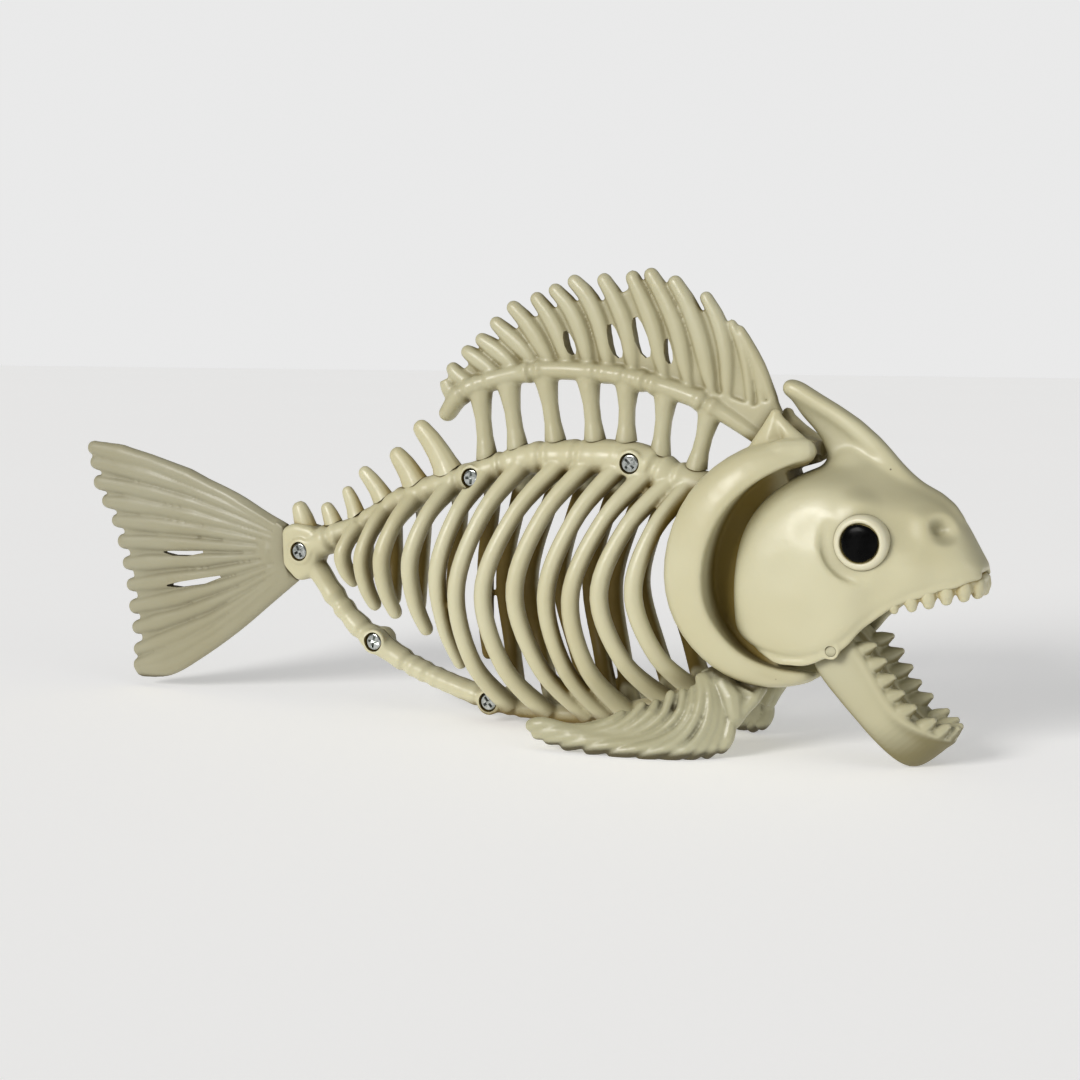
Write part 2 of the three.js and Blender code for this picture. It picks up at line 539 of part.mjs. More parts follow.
function lowerJaw() {
  const last = GUM_LINE.length - 1;
  const gum = GUM_LINE.map((_, k) => along(GUM_LINE, k / last));
  const side = plate([...JAW_UNDERSIDE.toReversed(), ...gum.toReversed()], BIG);
  const ledge = plate([...gum, ...gum.toReversed().map(([u, v]) => [u, v - JAW_LEDGE])], BIG);
  const wall = prism(jawU(0, -5.4), -20, 20).subtract(prism(jawU(JAW_WALL, -9), -21, 21));
  const shelf = prism(jawU(0, -4), -20, 20).subtract(prism(jawU(JAW_SHELF, -9), -21, 21));
  const teeth = [];
  for (const flank of [-1, 1]) {
    for (const u of LOWER_TEETH_U) {
      teeth.push(tooth(u, flank * (JAW_HALF_WIDTH - 3.1), atX(GUM_LINE, u), 0.3));
    }
  }
  for (let k = 0; k < LOWER_FRONT_TEETH; k += 1) {
    const angle = (-0.5 + (k + 0.5) / LOWER_FRONT_TEETH) * 2.3;
    const u = JAW_REACH - 17 + 13.6 * Math.cos(angle);
    const y = (JAW_HALF_WIDTH - 3.2) * Math.sin(angle);
    teeth.push(tooth(u, y, atX(GUM_LINE, u), 0.12, 1.05));
  }
  const stubs = rodAcross(0, 0, STUB_RADIUS, -JAW_HALF_WIDTH - 2.6, -JAW_HALF_WIDTH + 1.4);
  return join([wall.intersect(side), shelf.intersect(ledge), ...teeth, stubs, mirrored(stubs)]);
}

// The upper teeth stand on a strip of their own, set inside the lip.
function upperLip(x) {
  return { y: atX(MOUTH, x, 5) - 1.8, z: atX(SKULL, x, 3) };
}

function upperTeeth() {
  const line = [];
  for (let x = UPPER_STRIP_START_X; x < 129; x += 4) {
    const { y, z } = upperLip(x);
    line.push(new THREE.Vector3(x, -y, z + 1.2));
  }
  const [[cornerX, cornerY, cornerZ], [noseX, noseY, noseZ]] = UPPER_STRIP_FRONT;
  const right = [...line, new THREE.Vector3(cornerX, -cornerY, cornerZ)];
  const left = right.toReversed().map((p) => new THREE.Vector3(p.x, -p.y, p.z));
  const path = new THREE.CatmullRomCurve3([...right, new THREE.Vector3(noseX, noseY, noseZ), ...left]);
  const rows = path.getSpacedPoints(8);
  const rings = rows.map((p, k) => {
    const next = rows[Math.min(k + 1, rows.length - 1)];
    const ahead = next.clone().sub(rows[Math.max(k - 1, 0)]).setZ(0).normalize();
    const out = new THREE.Vector3(ahead.y, -ahead.x, 0);
    return [[-1.2, -1.6], [1.1, -1.6], [1.1, 1.6], [-1.2, 1.6]].map(([wide, high]) => (
      p.clone().addScaledVector(out, wide).setZ(p.z + high)));
  });
  const teeth = [];
  UPPER_TOOTH_DROPS.forEach((length, k) => {
    const place = path.getPointAt(0.04 + (0.42 * k) / (UPPER_TOOTH_DROPS.length - 1));
    const drop = new THREE.CylinderGeometry(TOOTH_RADIUS, TOOTH_TIP_RADIUS, length, 4);
    drop.rotateX(Math.PI / 2);
    drop.translate(place.x, place.y, place.z - 0.2 - length / 2);
    teeth.push(solid(drop));
  });
  return join([loft(rings), ...teeth, ...teeth.map(mirrored)]);
}

// ---- pectoral fins, which it stands on ----
function pectoralRay(s, t) {
  const root = along(PECTORAL_ROOT, s);
  const middle = along(PECTORAL_BEND, s);
  const tip = along(PECTORAL_TIPS, s);
  const [x, z, y] = bend(root, middle, tip, t);
  return new THREE.Vector3(x, y, z);
}

function pectoralFin() {
  const steps = [0, 0.35, 0.75, 1];
  const rings = [];
  for (let ray = 0; ray <= 2 * (PECTORAL_RAYS - 1); ray += 1) {
    const s = ray / (2 * (PECTORAL_RAYS - 1));
    const reach = ray % 2 === 0 ? 1 : 0.955;
    const line = steps.map((t) => pectoralRay(s, t * reach));
    const outward = line.map((p, k) => {
      const ahead = line[Math.min(k + 1, line.length - 1)].clone().sub(line[Math.max(k - 1, 0)]);
      const after = pectoralRay(Math.min(s + 0.05, 1), steps[k]);
      const beside = after.sub(pectoralRay(Math.max(s - 0.05, 0), steps[k]));
      return ahead.cross(beside).normalize();
    });
    const half = PECTORAL_HALF * (ray % 2 === 0 ? 1 : 0.8);
    const above = line.map((p, k) => p.clone().addScaledVector(outward[k], half));
    const below = line.map((p, k) => p.clone().addScaledVector(outward[k], -half)).reverse();
    rings.push([...above, ...below]);
  }
  return loft(rings);
}

function pectoralRoot() {
  return bar([[69, -12.6, -43, 3.2], [66, -11, -40, 3.4], [63, -8.6, -37.6, 3.2], [58, -6, -37, 2.6]], 6, 0.8);
}

// ---- screws ----
function screw([x, z, faceY]) {
  const end = SCREW_HEAD_HEIGHT;
  const profile = [[0, 0], [SCREW_HEAD_RADIUS, 0.3], [SCREW_HEAD_RADIUS, end], [SCREW_SHANK_RADIUS, end],
    [SCREW_SHANK_RADIUS, end + SCREW_SHANK_LENGTH], [0, end + SCREW_SHANK_LENGTH]];
  const geometry = new THREE.LatheGeometry(profile.map(([r, y]) => new THREE.Vector2(r, y)), 8);
  return solid(geometry).translate([x, faceY, z]);
}

// ---- assembly ----
const floorCut = block([-BIG, -BIG, -BIG], [BIG, BIG, FLOOR_Z]);
const fish = new THREE.Group();

const collarRight = collarHalf(0);
const collarRoom = collarHalf(FIT).add(collarRight);
const collarSpace = collarRoom.add(mirrored(collarRoom));
const pocket = tonguePocket(FIT);
const trunkFull = trunkHalf(0).subtract(collarSpace).subtract(pocket);
const holes = join(SCREWS.map(screwHole));
const trunkRight = trunkFull.subtract(holes);
const shanks = join(SCREWS.map(([x, z]) => rodAcross(x, z, SCREW_SHANK_RADIUS + FIT, -3, 3.4, 6)));
const trunkLeft = mirrored(trunkFull).subtract(shanks);
const trunkSpace = trunkHalf(FIT).add(mirrored(trunkHalf(FIT)));
const tail = tailFin();
const holder = tailHolder();
const backSeat = join([backbone(FIT), collarSpace, tail, holder, holder.translate([0, 0, FIT])]);

fish.add(node('trunk_right', trunkRight, bone()));
fish.add(node('trunk_left', trunkLeft, bone()));
fish.add(node('collar_right', collarRight, bone()));
fish.add(node('collar_left', mirrored(collarRight), bone()));
fish.add(node('tail_fin', tail, tailBone()));
fish.add(node('dorsal_fin', dorsalFin(backSeat), bone()));
BACK_SPINES.forEach((row, k) => fish.add(node(`back_spine_${k + 1}`, backSpine(row, backSeat), bone())));

const finRight = [trunkSpace, collarSpace, floorCut]
  .reduce((body, cut) => body.subtract(cut), pectoralFin().add(pectoralRoot()));
fish.add(node('pectoral_fin_right', finRight, bone()));
fish.add(node('pectoral_fin_left', mirrored(finRight), bone()));

const head = skull();
fish.add(node('skull', head, bone()));
fish.add(node('eye_right', eyeBall(), eyeWhite()));
fish.add(node('eye_left', mirrored(eyeBall()), eyeWhite()));
fish.add(node('pupil_right', pupil(), pupilBlack()));
fish.add(node('pupil_left', mirrored(pupil()), pupilBlack()));
fish.add(node('upper_teeth', upperTeeth(), bone()));
fish.add(node('neck', neck(head, collarSpace), bone()));

const jaw = lowerJaw().rotate([0, JAW_DROP, 0]).translate([HINGE[0], 0, HINGE[1]]);
fish.add(node('lower_jaw', jaw.subtract(floorCut), bone()));
SCREWS.forEach((row, k) => fish.add(node(`screw_${k + 1}`, screw(row), steel())));

// Stand the fish with its flats on z = 0 and the middle of its length over the origin.
const extent = new THREE.Box3().setFromObject(fish);
fish.position.set(-(extent.min.x + extent.max.x) / 2, 0, -FLOOR_Z);

export default fish;
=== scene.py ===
import math

import bmesh
import bpy
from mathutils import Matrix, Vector


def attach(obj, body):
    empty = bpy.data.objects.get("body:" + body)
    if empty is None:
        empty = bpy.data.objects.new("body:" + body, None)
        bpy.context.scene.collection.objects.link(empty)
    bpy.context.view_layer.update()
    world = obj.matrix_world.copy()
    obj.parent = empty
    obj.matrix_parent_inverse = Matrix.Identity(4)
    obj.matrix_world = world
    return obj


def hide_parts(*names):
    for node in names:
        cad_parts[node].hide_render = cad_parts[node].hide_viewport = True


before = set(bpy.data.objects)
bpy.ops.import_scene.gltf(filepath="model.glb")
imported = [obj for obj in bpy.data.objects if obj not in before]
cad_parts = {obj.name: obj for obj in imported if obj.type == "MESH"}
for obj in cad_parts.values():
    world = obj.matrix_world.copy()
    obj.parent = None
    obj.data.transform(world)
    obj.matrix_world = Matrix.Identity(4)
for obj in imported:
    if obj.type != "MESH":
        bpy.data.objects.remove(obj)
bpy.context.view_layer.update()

# The fish is drawn in millimetres about its own middle and stood on the floor by this shift.
MM = 0.001
SHIFT = Vector((17.821, 0, 57.2))
FLOOR_Z = -57.2
BODY_SEAM = 0.15
GIRDLE_SEAM = 0.04


def at(x, y, z):
    return (Vector((x, y, z)) + SHIFT) * MM


def along(knots, where):
    """A row of a table of knots, read smoothly at 0 to 1 along it."""
    place = min(max(where, 0.0), 1.0) * (len(knots) - 1)
    index = min(int(place), len(knots) - 2)
    t = place - index
    near = [knots[min(max(index + step, 0), len(knots) - 1)] for step in (-1, 0, 1, 2)]
    row = []
    for a, b, c, d in zip(*near):
        curve = (2 * a - 5 * b + 4 * c - d) * t * t + (3 * b - a - 3 * c + d) * t * t * t
        row.append(0.5 * (2 * b + (c - a) * t + curve))
    return row


def smooth_rows(knots, count):
    return [along(knots, k / (count - 1)) for k in range(count)]


def level_at(knots, x, column=1):
    """One column of a table whose first column is x, read at a given x."""
    for near, far in zip(knots, knots[1:]):
        if x <= far[0] or far is knots[-1]:
            t = (x - near[0]) / (far[0] - near[0])
            return near[column] + (far[column] - near[column]) * t


# ---- working at the bench ----
def deselect():
    bpy.ops.object.select_all(action="DESELECT")


def take(obj):
    deselect()
    obj.select_set(True)
    bpy.context.view_layer.objects.active = obj


def open_up(obj):
    take(obj)
    bpy.ops.object.mode_set(mode="EDIT")
    bpy.ops.mesh.select_mode(type="VERT")


def pick_all():
    bpy.ops.mesh.select_all(action="SELECT")


def pick_none():
    bpy.ops.mesh.select_all(action="DESELECT")


def face_outwards():
    pick_all()
    bpy.ops.mesh.normals_make_consistent(inside=False)


def close_up():
    bpy.ops.object.mode_set(mode="OBJECT")


def settle(obj):
    take(obj)
    bpy.ops.object.transform_apply(location=True, rotation=True, scale=True)
    return obj


def turn(old, new, centre):
    """Turns what is selected from one heading to another about a point."""
    angles = old.rotation_difference(new).to_euler("XYZ")
    for axis, angle in zip("XYZ", angles):
        if abs(angle) > 0.001:
            bpy.ops.transform.rotate(value=-angle, orient_axis=axis, orient_type="GLOBAL",
                                     center_override=centre)


def tube(rows, sides=12, wide=1.0, tip=False, foot=False):
    """A disc extruded from row to row. A row is x, y, z, radius and, if given, the half width across."""
    rows = [list(row) if len(row) > 4 else [*row, row[3] * wide] for row in rows]
    for rounded, end, inner in ((tip, -1, -2), (foot, 0, 1)):
        if rounded:
            x, y, z, radius, across = rows[end]
            back = Vector(rows[inner][:3]) - Vector((x, y, z))
            out = -back.normalized()
            more = [list(Vector((x, y, z)) + out * radius * step) + [radius * size, across * size]
                    for step, size in ((0.55, 0.83), (0.9, 0.42))]
            rows = rows + more if end else more[::-1] + rows
    spots = [at(*row[:3]) for row in rows]
    headings = []
    for k in range(len(spots)):
        headings.append((spots[min(k + 1, len(spots) - 1)] - spots[max(k - 1, 0)]).normalized())
    bpy.ops.mesh.primitive_circle_add(
        vertices=sides, radius=rows[0][3] * MM, fill_type="NGON", location=spots[0],
        rotation=headings[0].to_track_quat("Z", "Y").to_euler())
    bar = bpy.context.object
    bpy.ops.object.mode_set(mode="EDIT")
    pick_all()
    bpy.ops.transform.resize(value=(1, rows[0][4] / rows[0][3], 1), center_override=spots[0])
    for k in range(1, len(rows)):
        bpy.ops.mesh.extrude_region_move(TRANSFORM_OT_translate={"value": spots[k] - spots[k - 1]})
        turn(headings[k - 1], headings[k], spots[k])
        size, across = rows[k][3] / rows[k - 1][3], rows[k][4] / rows[k - 1][4]
        bpy.ops.transform.resize(value=(size, across, size), center_override=spots[k])
    face_outwards()
    close_up()
    return settle(bar)


def pull_ring(body, targets, old):
    """Pulls the selected end face's corners to their targets, one after another."""
    shell = bmesh.from_edit_mesh(body.data)
    face = next(face for face in shell.faces if face.select)
    corners = [corner.vert for corner in face.loops]
    first = min(range(len(corners)), key=lambda k: (corners[k].co - old[0]).length)
    corners = corners[first:] + corners[:first]
    if (corners[1].co - old[1]).length > (corners[-1].co - old[1]).length:
        corners = [corners[0]] + corners[:0:-1]
    shell.verts.index_update()
    order = [corner.index for corner in corners]
    for index, target in zip(order, targets):
        pick_none()
        shell = bmesh.from_edit_mesh(body.data)
        shell.verts.ensure_lookup_table()
        shell.verts[index].select_set(True)
        bpy.ops.transform.translate(value=target - shell.verts[index].co)
    shell = bmesh.from_edit_mesh(body.data)
    shell.verts.ensure_lookup_table()
    for index in order:
        shell.verts[index].select_set(True)
    shell.select_flush(True)
    for face in shell.faces:
        if face.select and {corner.index for corner in face.verts} != set(order):
            face.select_set(False)


def drawn_disc(points):
    """A small disc, left in edit mode with its corners pulled to the given points."""
    bpy.ops.mesh.primitive_circle_add(vertices=len(points), radius=MM, fill_type="NGON", location=(0, 0, 0))
    body = bpy.context.object
    bpy.ops.object.mode_set(mode="EDIT")
    bpy.ops.mesh.select_mode(type="VERT")
    start = [corner.co.copy() for corner in bmesh.from_edit_mesh(body.data).verts]
    pull_ring(body, points, start)
    return body


def cage(rings, fineness=2):
    """A disc pulled to a first ring of points and extruded through the others, then subdivided."""
    rings = [[at(*point) for point in ring] for ring in rings]
    body = drawn_disc(rings[0])
    for before, ring in zip(rings, rings[1:]):
        bpy.ops.mesh.extrude_region_move(TRANSFORM_OT_translate={"value": (0, 0, 0)})
        pull_ring(body, ring, before)
    face_outwards()
    close_up()
    modify(body, "SUBSURF", levels=fineness, render_levels=fineness)
    return body


def sheet(outline, thickness, y=0.0):
    """A flat web: a filled outline extruded across the fish."""
    body = drawn_disc([at(x, y - thickness / 2, z) for x, z in outline])
    pick_all()
    bpy.ops.mesh.extrude_region_move(TRANSFORM_OT_translate={"value": (0, thickness * MM, 0)})
    face_outwards()
    close_up()
    return body


def bevel_all(obj, offset, segments):
    open_up(obj)
    pick_all()
    bpy.ops.mesh.bevel(offset=offset * MM, segments=segments, affect="EDGES")
    close_up()
    return obj


def block(low, high, edge=0.0):
    """A box, with its edges bevelled if asked."""
    low, high = at(*low), at(*high)
    bpy.ops.mesh.primitive_cube_add(size=1, location=(low + high) / 2, scale=high - low)
    body = settle(bpy.context.object)
    return bevel_all(body, edge, 3) if edge else body


def rod(x, z, radius, from_y, to_y, sides=32):
    """A straight round rod across the fish."""
    bpy.ops.mesh.primitive_cylinder_add(
        vertices=sides, radius=radius * MM, depth=abs(to_y - from_y) * MM,
        location=at(x, (from_y + to_y) / 2, z), rotation=(math.pi / 2, 0, 0))
    return settle(bpy.context.object)


def modify(obj, kind, **settings):
    take(obj)
    modifier = obj.modifiers.new(kind.title(), kind)
    for key, value in settings.items():
        setattr(modifier, key, value)
    bpy.ops.object.modifier_apply(modifier=modifier.name)


def join(parts):
    deselect()
    for part in parts:
        part.select_set(True)
    bpy.context.view_layer.objects.active = parts[0]
    bpy.ops.object.join()
    return bpy.context.object


def combine(obj, others, operation):
    for other in others:
        modify(obj, "BOOLEAN", object=other, operation=operation, solver="MANIFOLD")
        bpy.data.objects.remove(other)
    return obj


def cut(obj, *cutters):
    return combine(obj, cutters, "DIFFERENCE")


def weld(obj, *others):
    return combine(obj, others, "UNION")


def mould(parts, grain, passes):
    """Parts sunk into each other become one moulded body with soft inner corners."""
    body = join(parts)
    modify(body, "REMESH", mode="VOXEL", voxel_size=grain * MM)
    soften(body, passes)
    return body


def soften(body, passes):
    modify(body, "SMOOTH", factor=0.5, iterations=passes)


def keep_right(obj, seam):
    """Cuts a body off just short of the fish's middle, with a flat face there."""
    return cut(obj, block((-200, -seam, -90), (200, 60, 130)))


def stand(obj):
    """Cuts away what would reach into the floor."""
    return cut(obj, block((-200, -60, -90), (200, 60, FLOOR_Z + 0.02)))


def copy_across(obj):
    """The same shape on the fish's left."""
    take(obj)
    bpy.ops.object.duplicate()
    twin = bpy.context.object
    open_up(twin)
    pick_all()
    bpy.ops.transform.resize(value=(1, -1, 1), orient_type="GLOBAL", center_override=(0, 0, 0))
    face_outwards()
    close_up()
    return twin


def nudge(obj, spot, move, reach):
    """Pushes a soft dent or swelling into a body around one spot."""
    centre = at(*spot)
    open_up(obj)
    pick_none()
    shell = bmesh.from_edit_mesh(obj.data)
    nearest = min(shell.verts, key=lambda corner: (corner.co - centre).length_squared)
    nearest.select_set(True)
    bpy.ops.transform.translate(
        value=Vector(move) * MM, use_proportional_edit=True, proportional_edit_falloff="SMOOTH",
        proportional_size=reach * MM, use_proportional_connected=True)
    close_up()


def finish(obj, name, material, node, body="frame", crisp=50):
    obj.name = name
    obj.data.name = name
    obj.data.materials.clear()
    obj.data.materials.append(material)
    take(obj)
    bpy.ops.object.shade_smooth_by_angle(angle=math.radians(crisp))
    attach(obj, body)
    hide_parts(node)


def finish_pair(right, left, name, material, node):
    for piece, side in ((right, "right"), (left, "left")):
        finish(piece, f"{name}_{side}", material, f"{node}_{side}")


# ---- finishes ----
def new_finish(name):
    material = bpy.data.materials.new(name)
    material.use_nodes = True
    nodes = material.node_tree.nodes
    nodes.clear()
    output = nodes.new("ShaderNodeOutputMaterial")
    shader = nodes.new("ShaderNodeBsdfPrincipled")
    material.node_tree.links.new(shader.outputs["BSDF"], output.inputs["Surface"])
    return material, shader


class Bench:
    """Short names for adding and joining the nodes of one finish."""

    def __init__(self, material):
        self.tree = material.node_tree
        self.place = self.add("ShaderNodeTexCoord").outputs["Object"]

    def add(self, kind, **settings):
        node = self.tree.nodes.new(kind)
        for key, value in settings.items():
            if key in node.inputs:
                node.inputs[key].default_value = value
            else:
                setattr(node, key, value)
        return node

    def link(self, source, target):
        self.tree.links.new(source, target)

    def feed(self, socket, value):
        """Joins a socket to a node's output, or sets it to a number or a colour."""
        if isinstance(value, tuple):
            socket.default_value = (*value, 1.0)
        elif isinstance(value, (int, float)):
            socket.default_value = value
        else:
            self.link(value, socket)

    def sum(self, operation, first, second=0.0, clamp=False):
        node = self.add("ShaderNodeMath", operation=operation, use_clamp=clamp)
        self.feed(node.inputs[0], first)
        self.feed(node.inputs[1], second)
        return node.outputs[0]

    def ramp(self, value, low, high, start=0.0, end=1.0):
        node = self.add("ShaderNodeMapRange", interpolation_type="SMOOTHSTEP")
        for socket, number in zip(list(node.inputs)[:5], (value, low, high, start, end)):
            self.feed(socket, number)
        return node.outputs[0]

    def noise(self, scale, detail=3.0):
        node = self.add("ShaderNodeTexNoise", Scale=scale, Detail=detail, Roughness=0.5)
        self.link(self.place, node.inputs["Vector"])
        return node.outputs["Fac"]

    def blend(self, amount, first, second):
        node = self.add("ShaderNodeMix", data_type="RGBA")
        for index, value in ((0, amount), (6, first), (7, second)):
            self.feed(node.inputs[index], value)
        return node.outputs[2]

    def split(self, vector):
        node = self.add("ShaderNodeSeparateXYZ")
        self.link(vector, node.inputs[0])
        return node.outputs

    def facing(self):
        return self.split(self.add("ShaderNodeNewGeometry").outputs["Normal"])

    def either(self, first, second):
        return self.sum("MAXIMUM", first, second, clamp=True)


def inward_shade(bench, most):
    """Painted brown shade on the sides that face the middle of the fish, but not along its seam."""
    across = bench.split(bench.place)["Y"]
    side = bench.ramp(across, -0.002, 0.002, 1.0, -1.0)
    inward = bench.ramp(bench.sum("MULTIPLY", bench.facing()["Y"], side), -0.05, 0.75)
    off_seam = bench.ramp(bench.sum("ABSOLUTE", across), 0.0035, 0.006)
    return bench.sum("MULTIPLY", bench.sum("MULTIPLY", inward, off_seam), most)


def channel_shade(bench, x, z):
    """Painted brown shade in the channel round a middle point, fading towards the girdle's lips and its open
    side.
    """
    from_middle = bench.add("ShaderNodeVectorMath", operation="SUBTRACT")
    from_middle.inputs[1].default_value = at(x, 0, z)
    bench.link(bench.place, from_middle.inputs[0])
    flat = bench.add("ShaderNodeVectorMath", operation="MULTIPLY")
    flat.inputs[1].default_value = (1, 0, 1)
    bench.link(from_middle.outputs[0], flat.inputs[0])
    radius = bench.add("ShaderNodeVectorMath", operation="LENGTH")
    bench.link(flat.outputs[0], radius.inputs[0])
    inside = bench.ramp(radius.outputs["Value"], 0.0345, 0.0325)
    spot = bench.split(bench.place)
    depth = bench.ramp(bench.sum("ABSOLUTE", spot["Y"]), 0.018, 0.006)
    closed_side = bench.ramp(spot["X"], 0.104, 0.09)
    return bench.sum("MULTIPLY", bench.sum("MULTIPLY", inside, depth), closed_side)


def bone_finish(name, cream, deep, shade_reach=0.009, shade_strength=1.0, inner_shade=0.0, roughness=0.38, coat=0.2,
                facing_shade=None, channel=None):
    """Cream plastic with painted shade: the colour darkens towards a deep brown in hollows, on inward faces and
    by facing.
    """
    material, shader = new_finish(name)
    bench = Bench(material)
    # Painted shade: an ambient-occlusion mask darkens the cream towards the deep colour in hollows, creases and
    # between parts, where shade falls; noise makes it patchy.
    near = bench.add("ShaderNodeAmbientOcclusion", Distance=shade_reach, samples=8).outputs["AO"]
    hollow = bench.sum("MULTIPLY", bench.sum("SUBTRACT", 0.97, near), 1.7, clamp=True)
    patchy_shade = bench.sum("MULTIPLY", hollow, bench.ramp(bench.noise(55.0), 0.25, 0.75, 0.75, 1.15))
    amount = bench.sum("MULTIPLY", patchy_shade, shade_strength, clamp=True)
    # Painted shade on faces turned towards the fish's middle.
    if inner_shade:
        amount = bench.either(amount, inward_shade(bench, inner_shade))
    # Painted shade in the girdle's channel.
    if channel:
        amount = bench.either(amount, channel_shade(bench, *channel))
    # Painted shade by facing: upward faces darker on the head, downward faces darker on the jaw.
    if facing_shade:
        from_level, to_level, most = facing_shade
        facing_shade_mask = bench.ramp(bench.facing()["Z"], from_level, to_level)
        amount = bench.either(amount, bench.sum("MULTIPLY", facing_shade_mask, most))
    lighter = tuple(min(1.0, part * 1.07) for part in cream)
    warmer = (cream[0] * 0.97, cream[1] * 0.945, cream[2] * 0.87)
    body = bench.blend(bench.ramp(bench.noise(24.0, 2.0), 0.3, 0.7), lighter, warmer)
    # The deep colour is the painted shade's brown, and the mask blends it in over two steps.
    middle = tuple(0.45 * a + 0.55 * b for a, b in zip(cream, deep))
    half = bench.blend(bench.ramp(amount, 0.0, 0.55), body, middle)
    with_shade = bench.blend(bench.ramp(amount, 0.4, 1.0), half, deep)
    specks = bench.add("ShaderNodeTexVoronoi", Scale=150.0, Randomness=1.0)
    bench.link(bench.place, specks.inputs["Vector"])
    rare = bench.ramp(bench.noise(90.0, 1.0), 0.66, 0.7)
    dot = bench.sum("MULTIPLY", bench.ramp(specks.outputs["Distance"], 0.05, 0.025), rare)
    bench.link(bench.blend(dot, with_shade, (0.09, 0.06, 0.03)), shader.inputs["Base Color"])
    gloss = bench.ramp(bench.noise(130.0, 4.0), 0.3, 0.7, roughness - 0.05, roughness + 0.08)
    gloss = bench.sum("ADD", gloss, bench.sum("MULTIPLY", amount, 0.35), clamp=True)
    bench.link(gloss, shader.inputs["Roughness"])
    waves = bench.noise(60.0, 2.0)
    for scale, share in ((200.0, 0.16), (700.0, 0.04)):
        waves = bench.sum("ADD", waves, bench.sum("MULTIPLY", bench.noise(scale), share))
    bump = bench.add("ShaderNodeBump", Strength=0.45, Distance=0.0012)
    bench.link(waves, bump.inputs["Height"])
    bench.link(bump.outputs["Normal"], shader.inputs["Normal"])
    shader.inputs["Subsurface Weight"].default_value = 0.12
    shader.inputs["Subsurface Radius"].default_value = (1.0, 0.75, 0.45)
    shader.inputs["Subsurface Scale"].default_value = 0.0012
    shader.inputs["Coat Weight"].default_value = coat
    shader.inputs["Coat Roughness"].default_value = 0.28
    return material


def glossy_finish(name, fleck, tones, glint, gloss, socket, value):
    """A plain finish whose tone and gloss drift a little from place to place."""
    material, shader = new_finish(name)
    bench = Bench(material)
    tone = bench.ramp(bench.noise(fleck), 0.35, 0.65)
    bench.link(bench.blend(tone, *tones), shader.inputs["Base Color"])
    bench.link(bench.ramp(bench.noise(glint), 0.3, 0.7, *gloss), shader.inputs["Roughness"])
    shader.inputs[socket].default_value = value
    return material


CREAM = (0.6, 0.57, 0.385)
# Painted shade: the brown that the hollows are darkened towards.
SHADE_BROWN = (0.33, 0.215, 0.02)
bone = bone_finish("bone_plastic", CREAM, SHADE_BROWN)
# The rib halves get painted brown shade on their inward faces and in their hollows.
cage_bone = bone_finish("rib_plastic", CREAM, (0.15, 0.098, 0.009), shade_reach=0.008, inner_shade=1.0, coat=0.1)
# The girdle halves get painted brown shade in their channel.
girdle_bone = bone_finish("girdle_plastic", CREAM, (0.2, 0.138, 0.017), shade_reach=0.008, shade_strength=0.7, coat=0.0,
                          channel=(88, -2))
# Painted shade: the jaw uses a darker copy of the cream, and its downward faces are darkened more.
jaw_bone = bone_finish("jaw_plastic", (0.52, 0.5, 0.345), (0.2, 0.17, 0.07), shade_reach=0.005,
                       facing_shade=(0.1, -0.55, 0.9))
head_bone = bone_finish("head_plastic", CREAM, (0.22, 0.195, 0.095), shade_reach=0.02, shade_strength=0.9, coat=0.25,
                        facing_shade=(0.3, 0.9, 0.42))
# Painted shade: the fins and the tail use darker copies of the cream, and their grooves are darkened.
fin_bone = bone_finish("fin_plastic", (0.52, 0.495, 0.335), (0.18, 0.14, 0.04), shade_reach=0.005, shade_strength=1.3)
side_fin_bone = bone_finish("side_fin_plastic", (0.46, 0.445, 0.3), (0.085, 0.07, 0.028), shade_reach=0.004,
                            shade_strength=1.5)
tail_bone = bone_finish("tail_plastic", (0.355, 0.335, 0.228), (0.1, 0.08, 0.03), shade_reach=0.005, shade_strength=1.5,
                        roughness=0.45)
eye_paint = bone_finish("eye_white", (0.7, 0.67, 0.5), (0.3, 0.24, 0.08), shade_reach=0.003)
# Painted shade: the neck drum is coloured deep brown, like the shade in the gap between head and girdle.
neck_shade_brown = bone_finish("neck_shade_brown", (0.14, 0.095, 0.02), (0.1, 0.065, 0.01), shade_reach=0.01, coat=0.0,
                           roughness=0.7)
black = glossy_finish("pupil_black", 300.0, ((0.001, 0.001, 0.001), (0.003, 0.003, 0.003)), 500.0, (0.2, 0.3),
                      "Specular IOR Level", 0.05)
steel = glossy_finish("screw_steel", 900.0, ((0.56, 0.58, 0.56), (0.3, 0.32, 0.3)), 1500.0, (0.08, 0.2),
                      "Metallic", 1.0)

# ---- body halves ----
BACKBONE = [  # x, z and half height
    (-88, -9.5, 4.4), (-81, -6, 4.8), (-74, -2.9, 4.4), (-63, 1.8, 3.4), (-49.6, 9.3, 3.8), (-37.4, 14, 4.2),
    (-24.4, 18, 4.4), (-12, 22.3, 4.2), (0, 25, 4.8), (15, 25.6, 5.2), (31.4, 25.2, 5.4), (42.5, 21.2, 4.6),
    (54, 18, 4.6),
]
KEEL = [
    (-86, -11, 3.6), (-80, -13, 3.5), (-74, -20.6, 3.2), (-65.6, -29.6, 3.3), (-56.8, -35.6, 3.7),
    (-44, -42.2, 3.2), (-28.5, -47.4, 3.2), (-16, -50.4, 3.5), (-2.5, -52.4, 2.9), (12, -52.6, 2.9),
    (24, -51, 2.8), (38, -47.4, 2.8), (52, -42.3, 2.8), (61, -38.6, 2.8),
]
RIB_TOP_X = [-63, -53, -42, -29, -17, -4.6, 9, 18.2, 28.2, 36.8, 44, 49.5]
RIB_END_X = [-63.8, -54.8, -46.5, -34.7, -22.5, -8.8, 4.1, 17.7, 23.3, 29.7, 43.4, 52.7]
